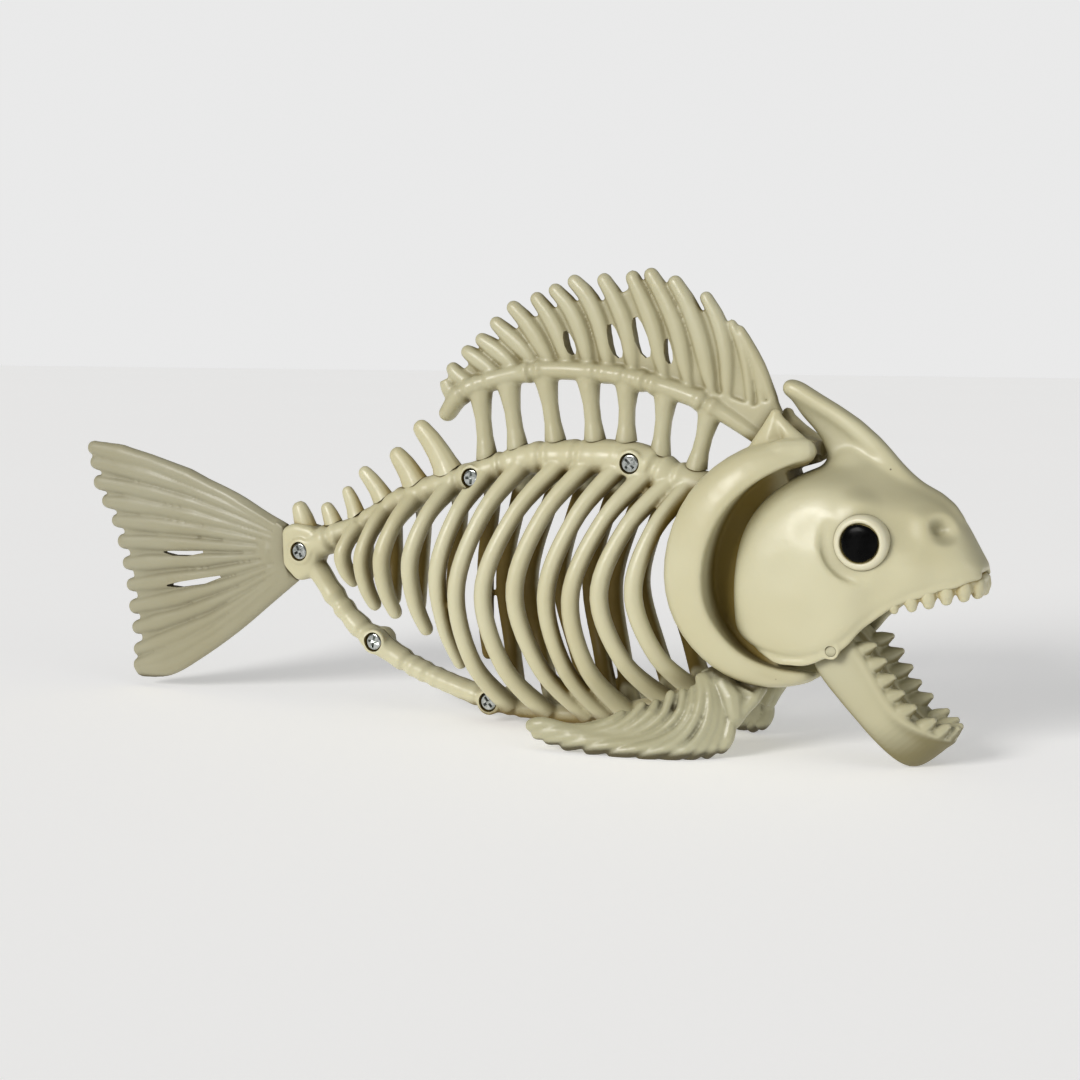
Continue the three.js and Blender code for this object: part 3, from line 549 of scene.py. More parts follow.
RIB_FREE_END_Z = [-15.6, -22.3, -24.2, -28.4, -37.8]
RIB_BOW = [2.5, 3, 4, 5, 7, 13.6, 17.8, 18.6, 16, 15.6, 17, 13.6]
RIB_RADIUS = 2.7
SCREWS = [  # x, z and y of the head's face
    (-83.4, -7.3, -5.2), (-56.8, -34.9, -3.9), (-15.9, -50.6, -3.9), (-21.1, 18.4, -4.9), (31.9, 24.6, -6.1),
]


def cage_half_width(x):
    t = min(max((x + 84) / 62, 0.0), 1.0)
    return 16 * math.sin(t * math.pi / 2)


def knuckled(knots, count, joints, wide):
    """Rows along a bar with a groove at each joint and a swollen ring on either side of it."""
    rows = []
    for x, z, radius in smooth_rows(knots, count):
        nearest, swell = min((abs(x - joint), swell) for joint, swell in joints)
        ring = 1 + swell * math.exp(-((nearest - 1.9) / 1.2) ** 2) - swell * math.exp(-(nearest / 0.8) ** 2)
        rows.append((x, 0, z, radius * ring, radius * ring * wide))
    return rows


def rib(index):
    top_x, end_x, bow = RIB_TOP_X[index], RIB_END_X[index], RIB_BOW[index]
    free = index < len(RIB_FREE_END_Z)
    top_z = level_at(BACKBONE, top_x) - 1
    end_z = RIB_FREE_END_Z[index] if free else level_at(KEEL, end_x)
    middle_x = (top_x + end_x) / 2
    wide = cage_half_width(middle_x - bow)
    knots = [
        (top_x, -2.0, top_z, RIB_RADIUS * 1.25),
        (top_x * 0.8 + end_x * 0.2 - bow * 0.6, -wide * 0.72, top_z * 0.8 + end_z * 0.2, RIB_RADIUS),
        (middle_x - bow, -wide, (top_z + end_z) / 2, RIB_RADIUS * 1.04),
        (top_x * 0.2 + end_x * 0.8 - bow * 0.6, -wide * 0.84, top_z * 0.2 + end_z * 0.8, RIB_RADIUS),
        (end_x, -wide * 0.6 if free else -2.6, end_z, RIB_RADIUS * (0.85 if free else 1.2)),
    ]
    return tube(smooth_rows(knots, 26), sides=12, tip=free)


HOLDER = [(-91, -0.2), (-86, 1.8), (-79, 0.6), (-75.5, -4), (-77.4, -9.4), (-80, -15.4), (-85, -17.6),
          (-90.8, -12.4)]
BACK_JOINTS = [(-73.3, 0.12), (-61.8, 0.14), (-53, 0.07), (-45.1, 0.14), (-36, 0.06), (-26.5, 0.1), (-14.6, 0.08),
               (-11, 0.12), (-3, 0.07), (1.6, 0.13), (13.4, 0.09), (24, 0.08), (38.4, 0.15), (43.6, 0.12)]
BELLY_JOINTS = [(-71.4, 0.14), (-67.7, 0.08), (-62, 0.12), (-52, 0.06), (-46, 0.12), (-38.6, 0.13), (-29, 0.09),
                (-20, 0.1), (-8, 0.08)]
FIN_JOINTS = [(-25, 0.12), (-18, 0.1), (-1.4, 0.2), (19.7, 0.1), (28.6, 0.08), (35.6, 0.14), (53.9, 0.2)]


def backbone_seat():
    """A cutter a little thicker than the backbone, for the feet that stand on it."""
    rows = [(x, 0, z, half_height + 0.3) for x, z, half_height in smooth_rows(BACKBONE, 30)]
    return tube(rows, sides=20, wide=1.15)


def body_half():
    spine = tube(knuckled(BACKBONE, 110, BACK_JOINTS, 1.15), sides=20)
    belly = tube(knuckled(KEEL, 100, BELLY_JOINTS, 1.2), sides=16)
    holder = bevel_all(sheet(HOLDER, 9.2), 2.0, 3)
    bosses = [rod(x, z, 4.1, face_y - 0.3, 0) for x, z, face_y in SCREWS]
    ribs = [rib(index) for index in range(len(RIB_TOP_X))]
    half = mould([spine, belly, holder, *bosses, *ribs], 0.52, 6)
    return keep_right(half, BODY_SEAM)


right_half = body_half()
left_half = copy_across(right_half)
wells = [rod(x, z, 3.1, face_y - 6, face_y + 1.7) for x, z, face_y in SCREWS]
cut(right_half, *wells)


# ---- shoulder girdle ----
COLLAR_CENTRE = (88, -2)
COLLAR = [  # angle round the centre, radius at the lip, radius at the back, half width at the lip
    (89, 29.6, 33, 9.5), (94, 29, 34.8, 11.5), (100, 28.6, 36.6, 13.5), (122, 27.6, 39.4, 18),
    (150, 27.6, 43, 20.5), (180, 28.4, 45, 21), (205, 30.4, 45.4, 21), (230, 30.6, 42.6, 19),
    (248, 30.2, 39.4, 15.5), (262, 29.8, 35.6, 12), (272, 29.8, 33, 9.6),
]


def collar_ring(row):
    angle, lip, back, half = row
    deep = back - lip
    section = [
        (lip, -half + 0.4), (lip + deep * 0.1, -half - 0.4), (lip + deep * 0.42, -half),
        (lip + deep * 0.7, -half * 0.93), (lip + deep * 0.86, -half * 0.8), (back, -half * 0.46),
        (back + 0.6, 1.0),
        (lip + 1.6, 1.0), (lip + 1.3, -half * 0.3), (lip + 0.9, -half * 0.62), (lip + 0.3, -half + 2.2),
    ]
    swing = math.radians(angle)
    return [(COLLAR_CENTRE[0] + r * math.cos(swing), y, COLLAR_CENTRE[1] + r * math.sin(swing))
            for r, y in section]


def girdle_arc(wide, high):
    """An arc round the girdle's centre, on the side of the body."""
    swings = [math.radians(angle) for angle in range(108, 257, 12)]
    return [(COLLAR_CENTRE[0] + wide * math.cos(swing), COLLAR_CENTRE[1] + high * math.sin(swing))
            for swing in swings]


def girdle_half():
    band = cage([collar_ring(row) for row in COLLAR])
    thorn = tube([(73.2, -5.6, 25.5, 7.0, 4.2), (74.4, -5.6, 31, 5.4, 3.6), (75.6, -5.5, 36, 3.4, 2.6),
                  (76.2, -5.4, 39.6, 1.9, 1.8)], sides=8, tip=True)
    slope = tube([(76.4, -5.4, 38.8, 1.7), (79.8, -5.8, 35, 2.3), (83, -6.6, 31.6, 3.1),
                  (85.4, -7.4, 29.5, 3.3)], sides=12, tip=True)
    knob = tube([(68, -13, 22.5, 4.0), (74, -11, 26.6, 4.2), (80, -9.6, 29.2, 4.2), (85.4, -8.4, 29.9, 3.7)],
                sides=12, tip=True)
    panel = sheet([(70, 23), (73, 32), (76.2, 38), (79.4, 34.6), (84, 30.4), (86, 26), (76, 23)], 3.8, -5.6)
    bulkhead = sheet(girdle_arc(31, 31) + girdle_arc(13, 17)[::-1], 15.4)
    half = mould([band, thorn, slope, knob, panel, bulkhead], 0.45, 8)
    keep_right(half, GIRDLE_SEAM)
    return cut(half, block((86.4, -5.2, 20), (100, 5.2, 60), 0.8))


right_girdle = girdle_half()
left_girdle = copy_across(right_girdle)
finish_pair(right_half, left_half, "body_half", cage_bone, "trunk")
finish_pair(right_girdle, left_girdle, "girdle", girdle_bone, "collar")

# ---- tail fin ----
TAIL_TOP = [(-91.6, 0.2), (-100.1, 4), (-111.7, 9.8), (-128.9, 16), (-145.1, 20.8), (-157.6, 24.2),
            (-166.5, 25.6)]
TAIL_BOTTOM = [(-88.6, -17.8), (-98.7, -25.6), (-112.8, -36.5), (-128.4, -46.8), (-139.7, -52.8),
               (-150.5, -54.1)]
TAIL_RIM = [(-170.8, 23.2), (-168, 10.2), (-160.2, -4), (-156.4, -20), (-154, -36), (-153.4, -50.4)]
TAIL_RAYS = 12


def tail_ray(index):
    t = index / (TAIL_RAYS - 1)
    tip_x, tip_z = along(TAIL_RIM, t)
    root_x, root_z = -90.5, -1.8 - 12.8 * t
    rows = []
    for share, radius, across in ((0, 1.0, 2.3), (0.12, 1.4, 2.4), (0.3, 2.1, 2.4), (0.5, 2.7, 2.4),
                                  (0.7, 3.2, 2.3), (0.86, 3.25, 2.1), (1, 2.6, 1.7)):
        bow = math.sin(share * math.pi) * 8.0 * (0.5 - t)
        wave = 1 + 0.07 * math.sin(share * 16 + index * 2.1)
        rows.append((root_x + (tip_x + 1.7 - root_x) * share, 0, root_z + (tip_z - root_z) * share + bow,
                     radius * wave, across * wave))
    return tube(rows, sides=14, tip=True)


def tail():
    rays = [tail_ray(index) for index in range(TAIL_RAYS)]
    rim = [(x + 3.4, z) for x, z in smooth_rows(TAIL_RIM, 12)]
    web = sheet(TAIL_TOP[:-1] + rim + TAIL_BOTTOM[:0:-1] + [(-89, -17), (-90.6, -9)], 1.6)
    edges = [tube([(x, 0, z + inset, radius, 2.0) for x, z in smooth_rows(knots, 26)], tip=True)
             for knots, inset, radius in ((TAIL_TOP[:-1], -2.3, 3.0), (TAIL_BOTTOM, 2.9, 3.3))]
    tongue = sheet([(-91.4, 0), (-94, 1.6), (-97, -8), (-92, -17), (-89.4, -16.6), (-91.4, -8)], 4.6)
    diamond = tube([(-98, -2.7, -8, 0.8), (-98, -2.0, -8, 5.0), (-98, 2.0, -8, 5.0), (-98, 2.7, -8, 0.8)],
                   sides=4)
    body = mould([web, *rays, *edges, tongue, diamond], 0.38, 14)
    slots = [tube([(-140, 0, -10.9, 0.25, 8), (-136, 0, -11.1, 0.85, 8), (-130, 0, -10.9, 0.9, 8),
                   (-123.6, 0, -10, 0.35, 8)], sides=10),
             tube([(-138.4, 0, -22.1, 0.3, 8), (-134, 0, -21.6, 1.0, 8), (-124, 0, -19.8, 1.1, 8),
                   (-116.6, 0, -17.8, 0.35, 8)], sides=10)]
    return cut(body, *slots)


finish(tail(), "tail", tail_bone, "tail_fin")

# ---- dorsal fin ----
FIN_BAR = [
    (-31.6, 37.8, 2.7), (-23.8, 45.4, 3.1), (-2, 51, 3.1), (18.7, 50.9, 3), (35.1, 48.2, 3.1), (53.2, 42.6, 3),
    (70.5, 32.6, 2.5),
]
FIN_RAYS = [  # x and z from the tip down to the bar
    [(-32.2, 49.1), (-31.1, 46.1), (-29.0, 43.1), (-26.6, 41.3)],
    [(-30.4, 52.2), (-27.6, 49.2), (-23.8, 46.8), (-19.7, 45.0)],
    [(-25.5, 57.1), (-21.4, 54.7), (-16.9, 51.7), (-12.8, 48.8)],
    [(-20.6, 60.8), (-15.9, 58.1), (-11.4, 54.8), (-7.4, 51.2)],
    [(-15.5, 65.9), (-10.7, 62.0), (-5.7, 57.9), (-1.3, 53.1)],
    [(-9.7, 70.7), (-4.3, 65.6), (0.3, 59.4), (4.3, 52.5)],
    [(-1.7, 73.3), (3.3, 67.4), (7.3, 60.3), (9.9, 52.6)],
    [(4.3, 75.7), (10.2, 69.7), (14.2, 61.8), (16.5, 52.7)],
    [(10.5, 78.2), (16.1, 72.6), (20.3, 63.8), (22.9, 52.1)],
    [(20.3, 78.7), (24.8, 72.0), (28.6, 63.3), (30.6, 52.2)],
    [(29.5, 79.4), (33.7, 71.9), (37.5, 62.7), (40.1, 51.1)],
    [(35.2, 80.1), (40.2, 72.5), (44.7, 62.7), (47.6, 49.5)],
    [(42.7, 77.8), (48.0, 69.6), (52.1, 59.0), (55.0, 46.7)],
    [(52.3, 73.5), (56.9, 65.6), (59.5, 55.9), (59.9, 44.5)],
    [(60.3, 66.1), (64.0, 59.1), (66.2, 50.6), (66.9, 42.1)],
    [(62.7, 64.4), (67.0, 57.1), (69.8, 48.6), (70.8, 40.1)],
    [(64.2, 62.5), (68.8, 54.3), (71.9, 47.0), (74.1, 42.5)],
]
FIN_WEB = [
    (-31.1, 49.1), (-25.5, 51.6), (-21, 55.4), (-15.2, 58.7), (-9, 62.9), (-2.7, 66.8), (4, 69.4), (10.5, 71.8),
    (20.3, 71.8), (26.7, 74), (32.7, 77.6), (40.2, 75.6), (50.2, 69.7), (58.4, 65.7), (63, 61.5), (67.5, 54),
    (71.4, 46.5), (73, 41), (69, 34),
]
FIN_SLOTS = [  # x and z of the top and of the bottom, half width
    ((8.9, 62.9), (11.6, 56.0), 1.45), ((23.2, 64.9), (26.5, 55.2), 1.95), ((31.2, 67.0), (35.3, 55.4), 2.2),
    ((41.2, 60.8), (42.3, 53.6), 1.2),
]
LEG_FOOT = [(-17.7, 22), (-7.1, 25), (5.7, 27), (18.5, 28), (28.2, 28), (38.7, 24), (49.7, 21)]
LEG_HEAD_X = [-20.4, -10.8, 1.7, 15.8, 28.7, 41.1, 55.1]
RAY_SIZES = [  # radius and half width across, from the tip down to the bar
    (2.1, 2.1), (2.35, 2.3), (2.7, 2.5), (2.95, 2.6), (3.05, 2.65), (3.05, 2.65), (2.9, 2.6), (2.6, 2.4),
    (2.0, 2.1),
]


def fin_ray(knots):
    slim = 1 if knots[0][0] < 50 else 0.85 if knots[0][0] < 60 else 0.6
    rows = []
    for (x, z), (radius, across) in zip(smooth_rows(knots, len(RAY_SIZES)), RAY_SIZES):
        rows.append((x, 0, z, radius * slim, across * (0.4 + 0.6 * slim)))
    out = Vector((rows[0][0] - rows[1][0], 0, rows[0][2] - rows[1][2])).normalized() * 1.2
    rows[0] = (rows[0][0] - out.x, 0, rows[0][2] - out.z, 2.3 * slim, 2.2 * slim)
    if knots[0][0] > 25:
        down = Vector((rows[-1][0] - rows[-2][0], 0, rows[-1][2] - rows[-2][2])).normalized() * 3.4
        rows.append((rows[-1][0] + down.x, 0, rows[-1][2] + down.z, 1.9 * slim, 1.9))
    return tube(rows, sides=14, foot=True)


def fin_leg(index):
    foot_x, foot_z = LEG_FOOT[index]
    head_x = LEG_HEAD_X[index]
    head_z = level_at(FIN_BAR, head_x)
    rows = []
    for share, radius in ((0, 4.1), (0.14, 3.4), (0.36, 2.6), (0.58, 2.55), (0.78, 3.2), (1, 4.6)):
        rows.append((foot_x + (head_x - foot_x) * share, 0, foot_z + (head_z - foot_z) * share, radius,
                     min(radius, 3.2)))
    return tube(rows, sides=14)


def dorsal():
    beam = tube(knuckled(FIN_BAR, 100, FIN_JOINTS, 1.3), sides=16, tip=True, foot=True)
    rays = [fin_ray(knots) for knots in FIN_RAYS]
    legs = [fin_leg(index) for index in range(len(LEG_FOOT))]
    web = sheet(FIN_WEB + [(x, z) for x, z, _ in FIN_BAR[-2::-1]], 1.5)
    root = sheet([(46, 46), (54, 46), (61, 44.5), (68, 42), (73.6, 43.6), (74, 40), (71, 35), (66, 34), (58, 38),
                  (48, 43)], 3.8)
    body = mould([beam, web, root, *rays, *legs], 0.385, 11)
    for (top_x, top_z), (low_x, low_z), half in FIN_SLOTS:
        rows = [(top_x + (low_x - top_x) * t, 0, top_z + (low_z - top_z) * t, half * size, 8)
                for t, size in ((0, 0.3), (0.2, 0.7), (0.55, 1), (0.85, 0.85), (1, 0.35))]
        cut(body, tube(rows, sides=12))
    return body


finish(cut(dorsal(), backbone_seat()), "back_fin", fin_bone, "dorsal_fin")

BACK_SPINES = [  # foot x, tip x and z, radius at the foot
    (-82.4, -87.1, 7.9, 4.096), (-72.4, -76.8, 8.1, 3.328), (-64, -68.9, 13.6, 2.944),
    (-53.5, -63.6, 20.1, 3.328), (-42, -51.8, 26.4, 4.096), (-30.3, -43.2, 35.1, 4.096),
]


def back_spine(foot_x, tip_x, tip_z, radius):
    """A blunt spine that leans back more and more towards its tip."""
    foot_z = level_at(BACKBONE, foot_x)
    rows = []
    last = 1 - 0.8 * radius * 0.72 / (tip_z - foot_z)
    for share, size in ((0.05, 1.55), (0.18, 1.3), (0.36, 1.06), (0.58, 0.93), (0.8, 0.84), (1.0, 0.72)):
        lean = share * last * (0.45 + 0.55 * share * last)
        rows.append((foot_x + (tip_x - foot_x) * lean, 0, foot_z + (tip_z - foot_z) * share * last,
                     radius * size, radius * size * 0.8))
    return cut(mould([tube(rows, sides=14, tip=True)], 0.4, 2), backbone_seat())


for number, row in enumerate(BACK_SPINES, 1):
    spine = back_spine(*row)
    if number == 1:  # it stands on the tail's holder, which is higher than the backbone
        cut(spine, block((-95, -8, -20), (-70, 8, 0.6)))
    finish(spine, f"spine_{number}", bone, f"back_spine_{number}")

# ---- head ----
SKULL = [  # x, then y and z of the ridge, hollow, shoulder, widest place and lip, with y to one side
    (66.8, 2.0, (6, 1.8), (11, -1.6), (13.4, -8), (11.6, -18)),
    (68.2, 9.2, (8, 8.8), (14.2, 4.4), (17, -5), (13.8, -22.4)),
    (73.4, 17.4, (8.5, 16.8), (15.6, 11.6), (18.7, 0), (15.3, -26.4)),
    (82, 23.4, (8.5, 23), (16.2, 17.6), (19.6, 2), (16, -28.4)),
    (90, 26.4, (8.5, 25), (16.4, 19.8), (19.8, 3), (16, -28.2)),
    (97, 30.5, (8.4, 24.4), (15.8, 19.6), (19.6, 4), (15.8, -25.4)),
    (102, 33, (7.8, 23), (15, 18.4), (19.2, 5), (15.5, -20.6)),
    (106, 31.6, (7.4, 21.4), (14, 16.8), (18.4, 5), (15, -15.8)),
    (112, 25.6, (7, 19.6), (12.6, 14.8), (16.6, 4.6), (14.2, -11.3)),
    (118, 21.3, (6.4, 18.2), (11, 13.4), (14.8, 4), (13.2, -8.3)),
    (124, 18, (5.8, 16.2), (9.4, 11.8), (13, 3), (12, -6)),
    (128.5, 12.6, (5, 11.4), (8.2, 8), (11.2, 2), (10.6, -4.5)),
    (132, 5.8, (4, 5.2), (6.8, 3.4), (9.4, 0.5), (9, -3)),
    (134.7, 0.6, (3, 0.4), (5, 0), (6.8, -1), (6.6, -2.1)),
    (135.7, -0.9, (2, -1), (3, -1.1), (4, -1.3), (3.8, -1.8)),
]
SADDLE = [  # x, then height of the ridge, and y and z of the slope's middle and foot
    (86, 24, (4, 23), (11, 18)), (89, 27, (4.2, 24.6), (11.4, 19)), (92, 31.5, (4, 27), (11.6, 19.6)),
    (97, 36, (4.4, 28.8), (11.8, 19.4)), (102, 32.6, (5.2, 26), (12, 17.6)),
    (107, 28.4, (5.4, 22.8), (11.4, 15.8)), (112, 24, (5.2, 20.2), (10.4, 14.4)), (116, 20, (4, 17), (8, 12)),
]
MOUTH = [  # x, top, widest level and half width
    (80, 8, 0, 12.2), (90, 12, 0, 13), (102, 11, 0, 12.8), (112, 8, 0, 11.4), (120, 5, -1, 10.2),
    (127, 2, -2, 8.4), (131, -0.4, -3, 7), (133.6, -1.6, -3.4, 4.6),
]
EYE = (104.8, 6.2)
HINGE = (96.4, -24.4)
PIN_RADIUS = 1.5
LIP = [  # x, y and z, to one side
    (75.4, 13.4, -25.6), (79, 14.0, -27.6), (84, 14.4, -28.6), (89, 14.6, -28.0), (95, 14.5, -25.6),
    (100, 14.3, -22.0), (104.4, 13.9, -17.0), (110.7, 13.0, -11.9), (117.8, 12.2, -8.4), (124, 11.0, -6.1),
    (128.5, 9.5, -4.7), (132, 7.7, -3.4), (134.2, 5.2, -2.5),
]
DENTS = [  # a spot on the left of the head, how it is pushed, and how far round it the plastic follows
    ((104, 15.6, 16.2), (0, 0.8, 0.6), 7.0), ((116, 13.6, 9.4), (0, -0.8, -0.2), 6.5),
    ((118, 14, -1), (0, 0.7, 0), 7.5), ((108, 16, -9), (0, -1.0, 0), 8.0),
    ((92, 19, -16), (0, -0.5, 0), 8.0), ((84, 19, -4), (0, -0.6, 0), 8.0),
    ((91, 19, 9), (0, -0.4, 0), 7.0), ((125.4, 9.5, 10.2), (-0.8, -1.9, -1.1), 5.4),
    ((125.2, 9.3, 10.4), (-0.7, -1.5, -0.9), 3.2), ((120.6, 11, 12), (0, 0.4, 0.3), 6.0),
]


def skull_ring(row):
    x, top, hollow, shoulder, widest, lip = row
    below = (widest[0] * 0.97 + lip[0] * 0.03, widest[1] * 0.62 + lip[1] * 0.38)
    near_lip = (widest[0] * 0.45 + lip[0] * 0.55, widest[1] * 0.14 + lip[1] * 0.86)
    side = [hollow, shoulder, widest, below, near_lip, lip]
    right = [(x, -y, z) for y, z in side]
    left = [(x, y, z) for y, z in reversed(side)]
    return [(x, 0, top), *right, (x, 0, lip[1]), *left]


def saddle_ring(x, top, middle, low):
    side = [middle, low, (low[0], low[1] - 7)]
    return [(x, 0, top), *[(x, -y, z) for y, z in side], *[(x, y, z) for y, z in reversed(side)]]


def mouth_ring(row):
    x, top, widest, half = row
    side = [(half * 0.6, top - 1), (half, widest), (half, -22), (half, -45)]
    right = [(x, -y, z) for y, z in side]
    left = [(x, y, z) for y, z in reversed(side)]
    return [(x, 0, top), *right, (x, 0, -45), *left]


def crest():
    """The crest's front edge, its back edge and the web between them."""
    front = tube([(127, 0, 10.0, 3.0), (124, 0, 14.0, 3.2), (121, 0, 16.4, 3.2), (115.6, 0, 19.2, 3.2),
                  (112, 0, 22.0, 3.2), (108.7, 0, 25.2, 3.2), (105.6, 0, 28.8, 3.1), (102.8, 0, 31.7, 3.1),
                  (97.4, 0, 36.2, 3.1), (91.8, 0, 39.9, 3.0), (86, 0, 43.2, 3.0), (81, 0, 46.2, 3.0),
                  (78.8, 0, 47.1, 2.9)], sides=14, tip=True, wide=1.1)
    rear = tube([(93, 0, 20, 2.4), (92, 0, 25, 1.9), (91, 0, 29.4, 1.6), (89.2, 0, 33.2, 1.5),
                 (86.4, 0, 36.8, 1.5), (83.2, 0, 40, 1.5), (80.9, 0, 43.2, 1.5), (79.2, 0, 45.8, 1.6)],
                sides=12, tip=True, wide=1.2)
    web = sheet([(92.6, 21), (91.6, 28), (89.6, 33), (85.6, 37.8), (81.6, 42.6), (79.8, 46), (86, 43), (92, 39.6),
                 (98, 35.8), (103, 31.2), (108, 25), (110, 18)], 3.6)
    return [front, rear, web]


def lip_rim(side):
    """The wavy rim along the cheek and the mouth."""
    rows = [(x, side * y, z + 0.2 * math.sin(k * 1.3), 1.15)
            for k, (x, y, z) in enumerate(smooth_rows(LIP, 34))]
    return tube(rows, sides=8, tip=True, foot=True)


def hinge_ring(side):
    bpy.ops.mesh.primitive_torus_add(
        major_radius=2.2 * MM, minor_radius=0.5 * MM, major_segments=32, minor_segments=8,
        location=at(HINGE[0], side * 15.6, HINGE[1]), rotation=(math.pi / 2, 0, 0))
    return settle(bpy.context.object)


def eye_moat(side):
    """A cutter for the hollow round an eye."""
    bpy.ops.mesh.primitive_cone_add(
        vertices=48, radius1=11.8 * MM, radius2=8.2 * MM, depth=5.4 * MM,
        location=at(EYE[0] - 0.2, side * 20.0, EYE[1] - 0.1), rotation=(-side * math.pi / 2, 0, 0))
    return settle(bpy.context.object)


def skull():
    shell = cage([skull_ring(row) for row in SKULL])
    saddle = cage([saddle_ring(*row) for row in SADDLE])
    body = mould([shell, *crest(), saddle], 0.5, 16)
    for side in (-1, 1):
        cut(body, eye_moat(side))
    body = mould([body], 0.5, 16)
    for side in (-1, 1):
        for (x, y, z), (push_x, push_y, push_z), reach in DENTS:
            nudge(body, (x, side * y, z), (push_x, side * push_y, push_z), reach)
    body = mould([body, lip_rim(-1), lip_rim(1), hinge_ring(-1), hinge_ring(1)], 0.5, 3)
    cut(body, cage([mouth_ring(row) for row in MOUTH], 1))
    body = mould([body], 0.45, 7)
    eye_holes = [rod(*EYE, 7.7, side * 30, side * 14.3, 64) for side in (-1, 1)]
    return cut(body, rod(*HINGE, PIN_RADIUS + 0.04, -30, 30), *eye_holes)


finish(skull(), "head", head_bone, "skull")


# ---- eyes ----
def turned(profile):
    """A profile of radius and y, spun round the eye's own axis on the fish's right."""
    first = profile[0]
    bpy.ops.mesh.primitive_circle_add(vertices=3, radius=MM, location=(0, 0, 0))
    body = bpy.context.object
    bpy.ops.object.mode_set(mode="EDIT")
    bpy.ops.mesh.select_mode(type="VERT")
    pick_all()
    bpy.ops.mesh.merge(type="CENTER")
    spot = bmesh.from_edit_mesh(body.data).verts[:]
    pick_all()
    bpy.ops.transform.translate(value=at(EYE[0] + first[0], -first[1], EYE[1]) - spot[0].co)
    before = first
    for radius, y in profile[1:]:
        step = Vector((radius - before[0], -(y - before[1]), 0)) * MM
        bpy.ops.mesh.extrude_region_move(TRANSFORM_OT_translate={"value": step})
        before = (radius, y)
    pick_all()
    bpy.ops.mesh.spin(steps=48, angle=2 * math.pi, center=at(EYE[0], 0, EYE[1]), axis=(0, 1, 0))
    pick_all()
    bpy.ops.mesh.remove_doubles(threshold=0.01 * MM)
    face_outwards()
    close_up()
    return body


right_eye = turned([(0, 14.6), (7.66, 14.6), (7.66, 16.6), (7.6, 17.5), (7.35, 18.2), (6.95, 18.7), (6.45, 19.0),
                    (6.0, 19.05), (5.6, 18.9), (5.4, 18.5), (5.35, 18.0), (0, 18.0)])
right_pupil = turned([(0, 18.3), (5.05, 18.3), (5.15, 18.7), (5.0, 19.1), (4.4, 19.4), (3.2, 19.65), (1.6, 19.78),
                      (0, 19.8)])
for angle, push in ((0.4, 0.18), (1.3, -0.12), (2.2, 0.16), (3.3, -0.14), (4.3, 0.12), (5.3, -0.16)):
    spot = (EYE[0] + 5.1 * math.cos(angle), -18.9, EYE[1] + 5.1 * math.sin(angle))
    nudge(right_pupil, spot, (push * math.cos(angle), 0, push * math.sin(angle)), 1.8)
finish_pair(right_eye, copy_across(right_eye), "eye_ring", eye_paint, "eye")
finish_pair(right_pupil, copy_across(right_pupil), "pupil_dome", black, "pupil")


# ---- teeth and jaw ----
POINTED = ((-0.15, 1.0), (0.12, 1.04), (0.36, 0.92), (0.58, 0.74), (0.76, 0.56), (0.88, 0.42))
PEG = ((-0.15, 0.95), (0.12, 1.0), (0.4, 1.0), (0.6, 0.9), (0.76, 0.72))


def tooth(foot, tip, radius, taper=POINTED):
    """A tooth that swells above its foot and ends in a round tip."""
    foot, tip = Vector(foot), Vector(tip)
    rows = []
    for share, size in taper:
        rows.append([*(foot + (tip - foot) * share), radius * size])
    return tube(rows, tip=True)


JAW_DROP = math.radians(47)
JAW_HALF_WIDTH = 12.2
JAW_REACH = 40.6
GUM_LINE = [(-5, 4.4), (4, 5.4), (12.6, 3.5), (22, 1.6), (27.6, 2.2), (32.6, 4), (37.6, 5.8), (41.6, 6.8)]
UNDERSIDE = [(-5.4, -6.4), (-1, -9), (10.6, -9.4), (22.6, -9.2), (31.6, -9.1), (37.2, -9), (39.4, -6.4),
             (41, -4)]
JAW_SECTION = [  # how far in from the outside, share of the way up to the gum line, and a lift from there
    (0.3, 1, 0.5), (-0.25, 1, -1.4), (0.2, 1, -3.4), (0.1, 0.45, 0), (0.4, 0, 1.2), (1.3, 0, 0.1), (2.2, 0, 1.0),
    (2.4, 0.5, 0), (2.6, 1, -3.4), (5.2, 1, -2.6), (5.6, 1, -1.0), (4.8, 1, -0.1), (2.6, 1, 0.1),
]


def in_jaw(u, y, v):
    """A place in the jaw's own lengths: u along it from the hinge, v upward from it."""
    return (HINGE[0] + u * math.cos(JAW_DROP) + v * math.sin(JAW_DROP), y,
            HINGE[1] - u * math.sin(JAW_DROP) + v * math.cos(JAW_DROP))


def jaw_path(count):
    """Stations round the jaw's U: u, y, and the direction inwards."""
    straight = JAW_REACH - 17 + 4.6
    stations = []
    for k in range(count):
        t = -1 + 2 * k / (count - 1)
        reach = abs(t)
        side = math.copysign(1, t)
        if reach > 0.42:
            u = (JAW_REACH - 17) - (reach - 0.42) / 0.58 * straight
            stations.append((u, side * JAW_HALF_WIDTH, (0, -side)))
        else:
            angle = t / 0.42 * math.pi / 2
            stations.append((JAW_REACH - 17 + 17 * math.cos(angle), JAW_HALF_WIDTH * math.sin(angle),
                             (-math.cos(angle), -math.sin(angle))))
    return stations


def jaw_ring(station):
    u, y, (in_u, in_y) = station
    ring = []
    for inset, height, drop in JAW_SECTION:
        spot_u, spot_y = u + in_u * inset, y + in_y * inset
        gum = level_at(GUM_LINE, max(spot_u, -5))
        under = level_at(UNDERSIDE, max(spot_u, -5.4))
        v = under + (gum - under) * height + drop
        ring.append(in_jaw(spot_u, spot_y, v))
    return ring


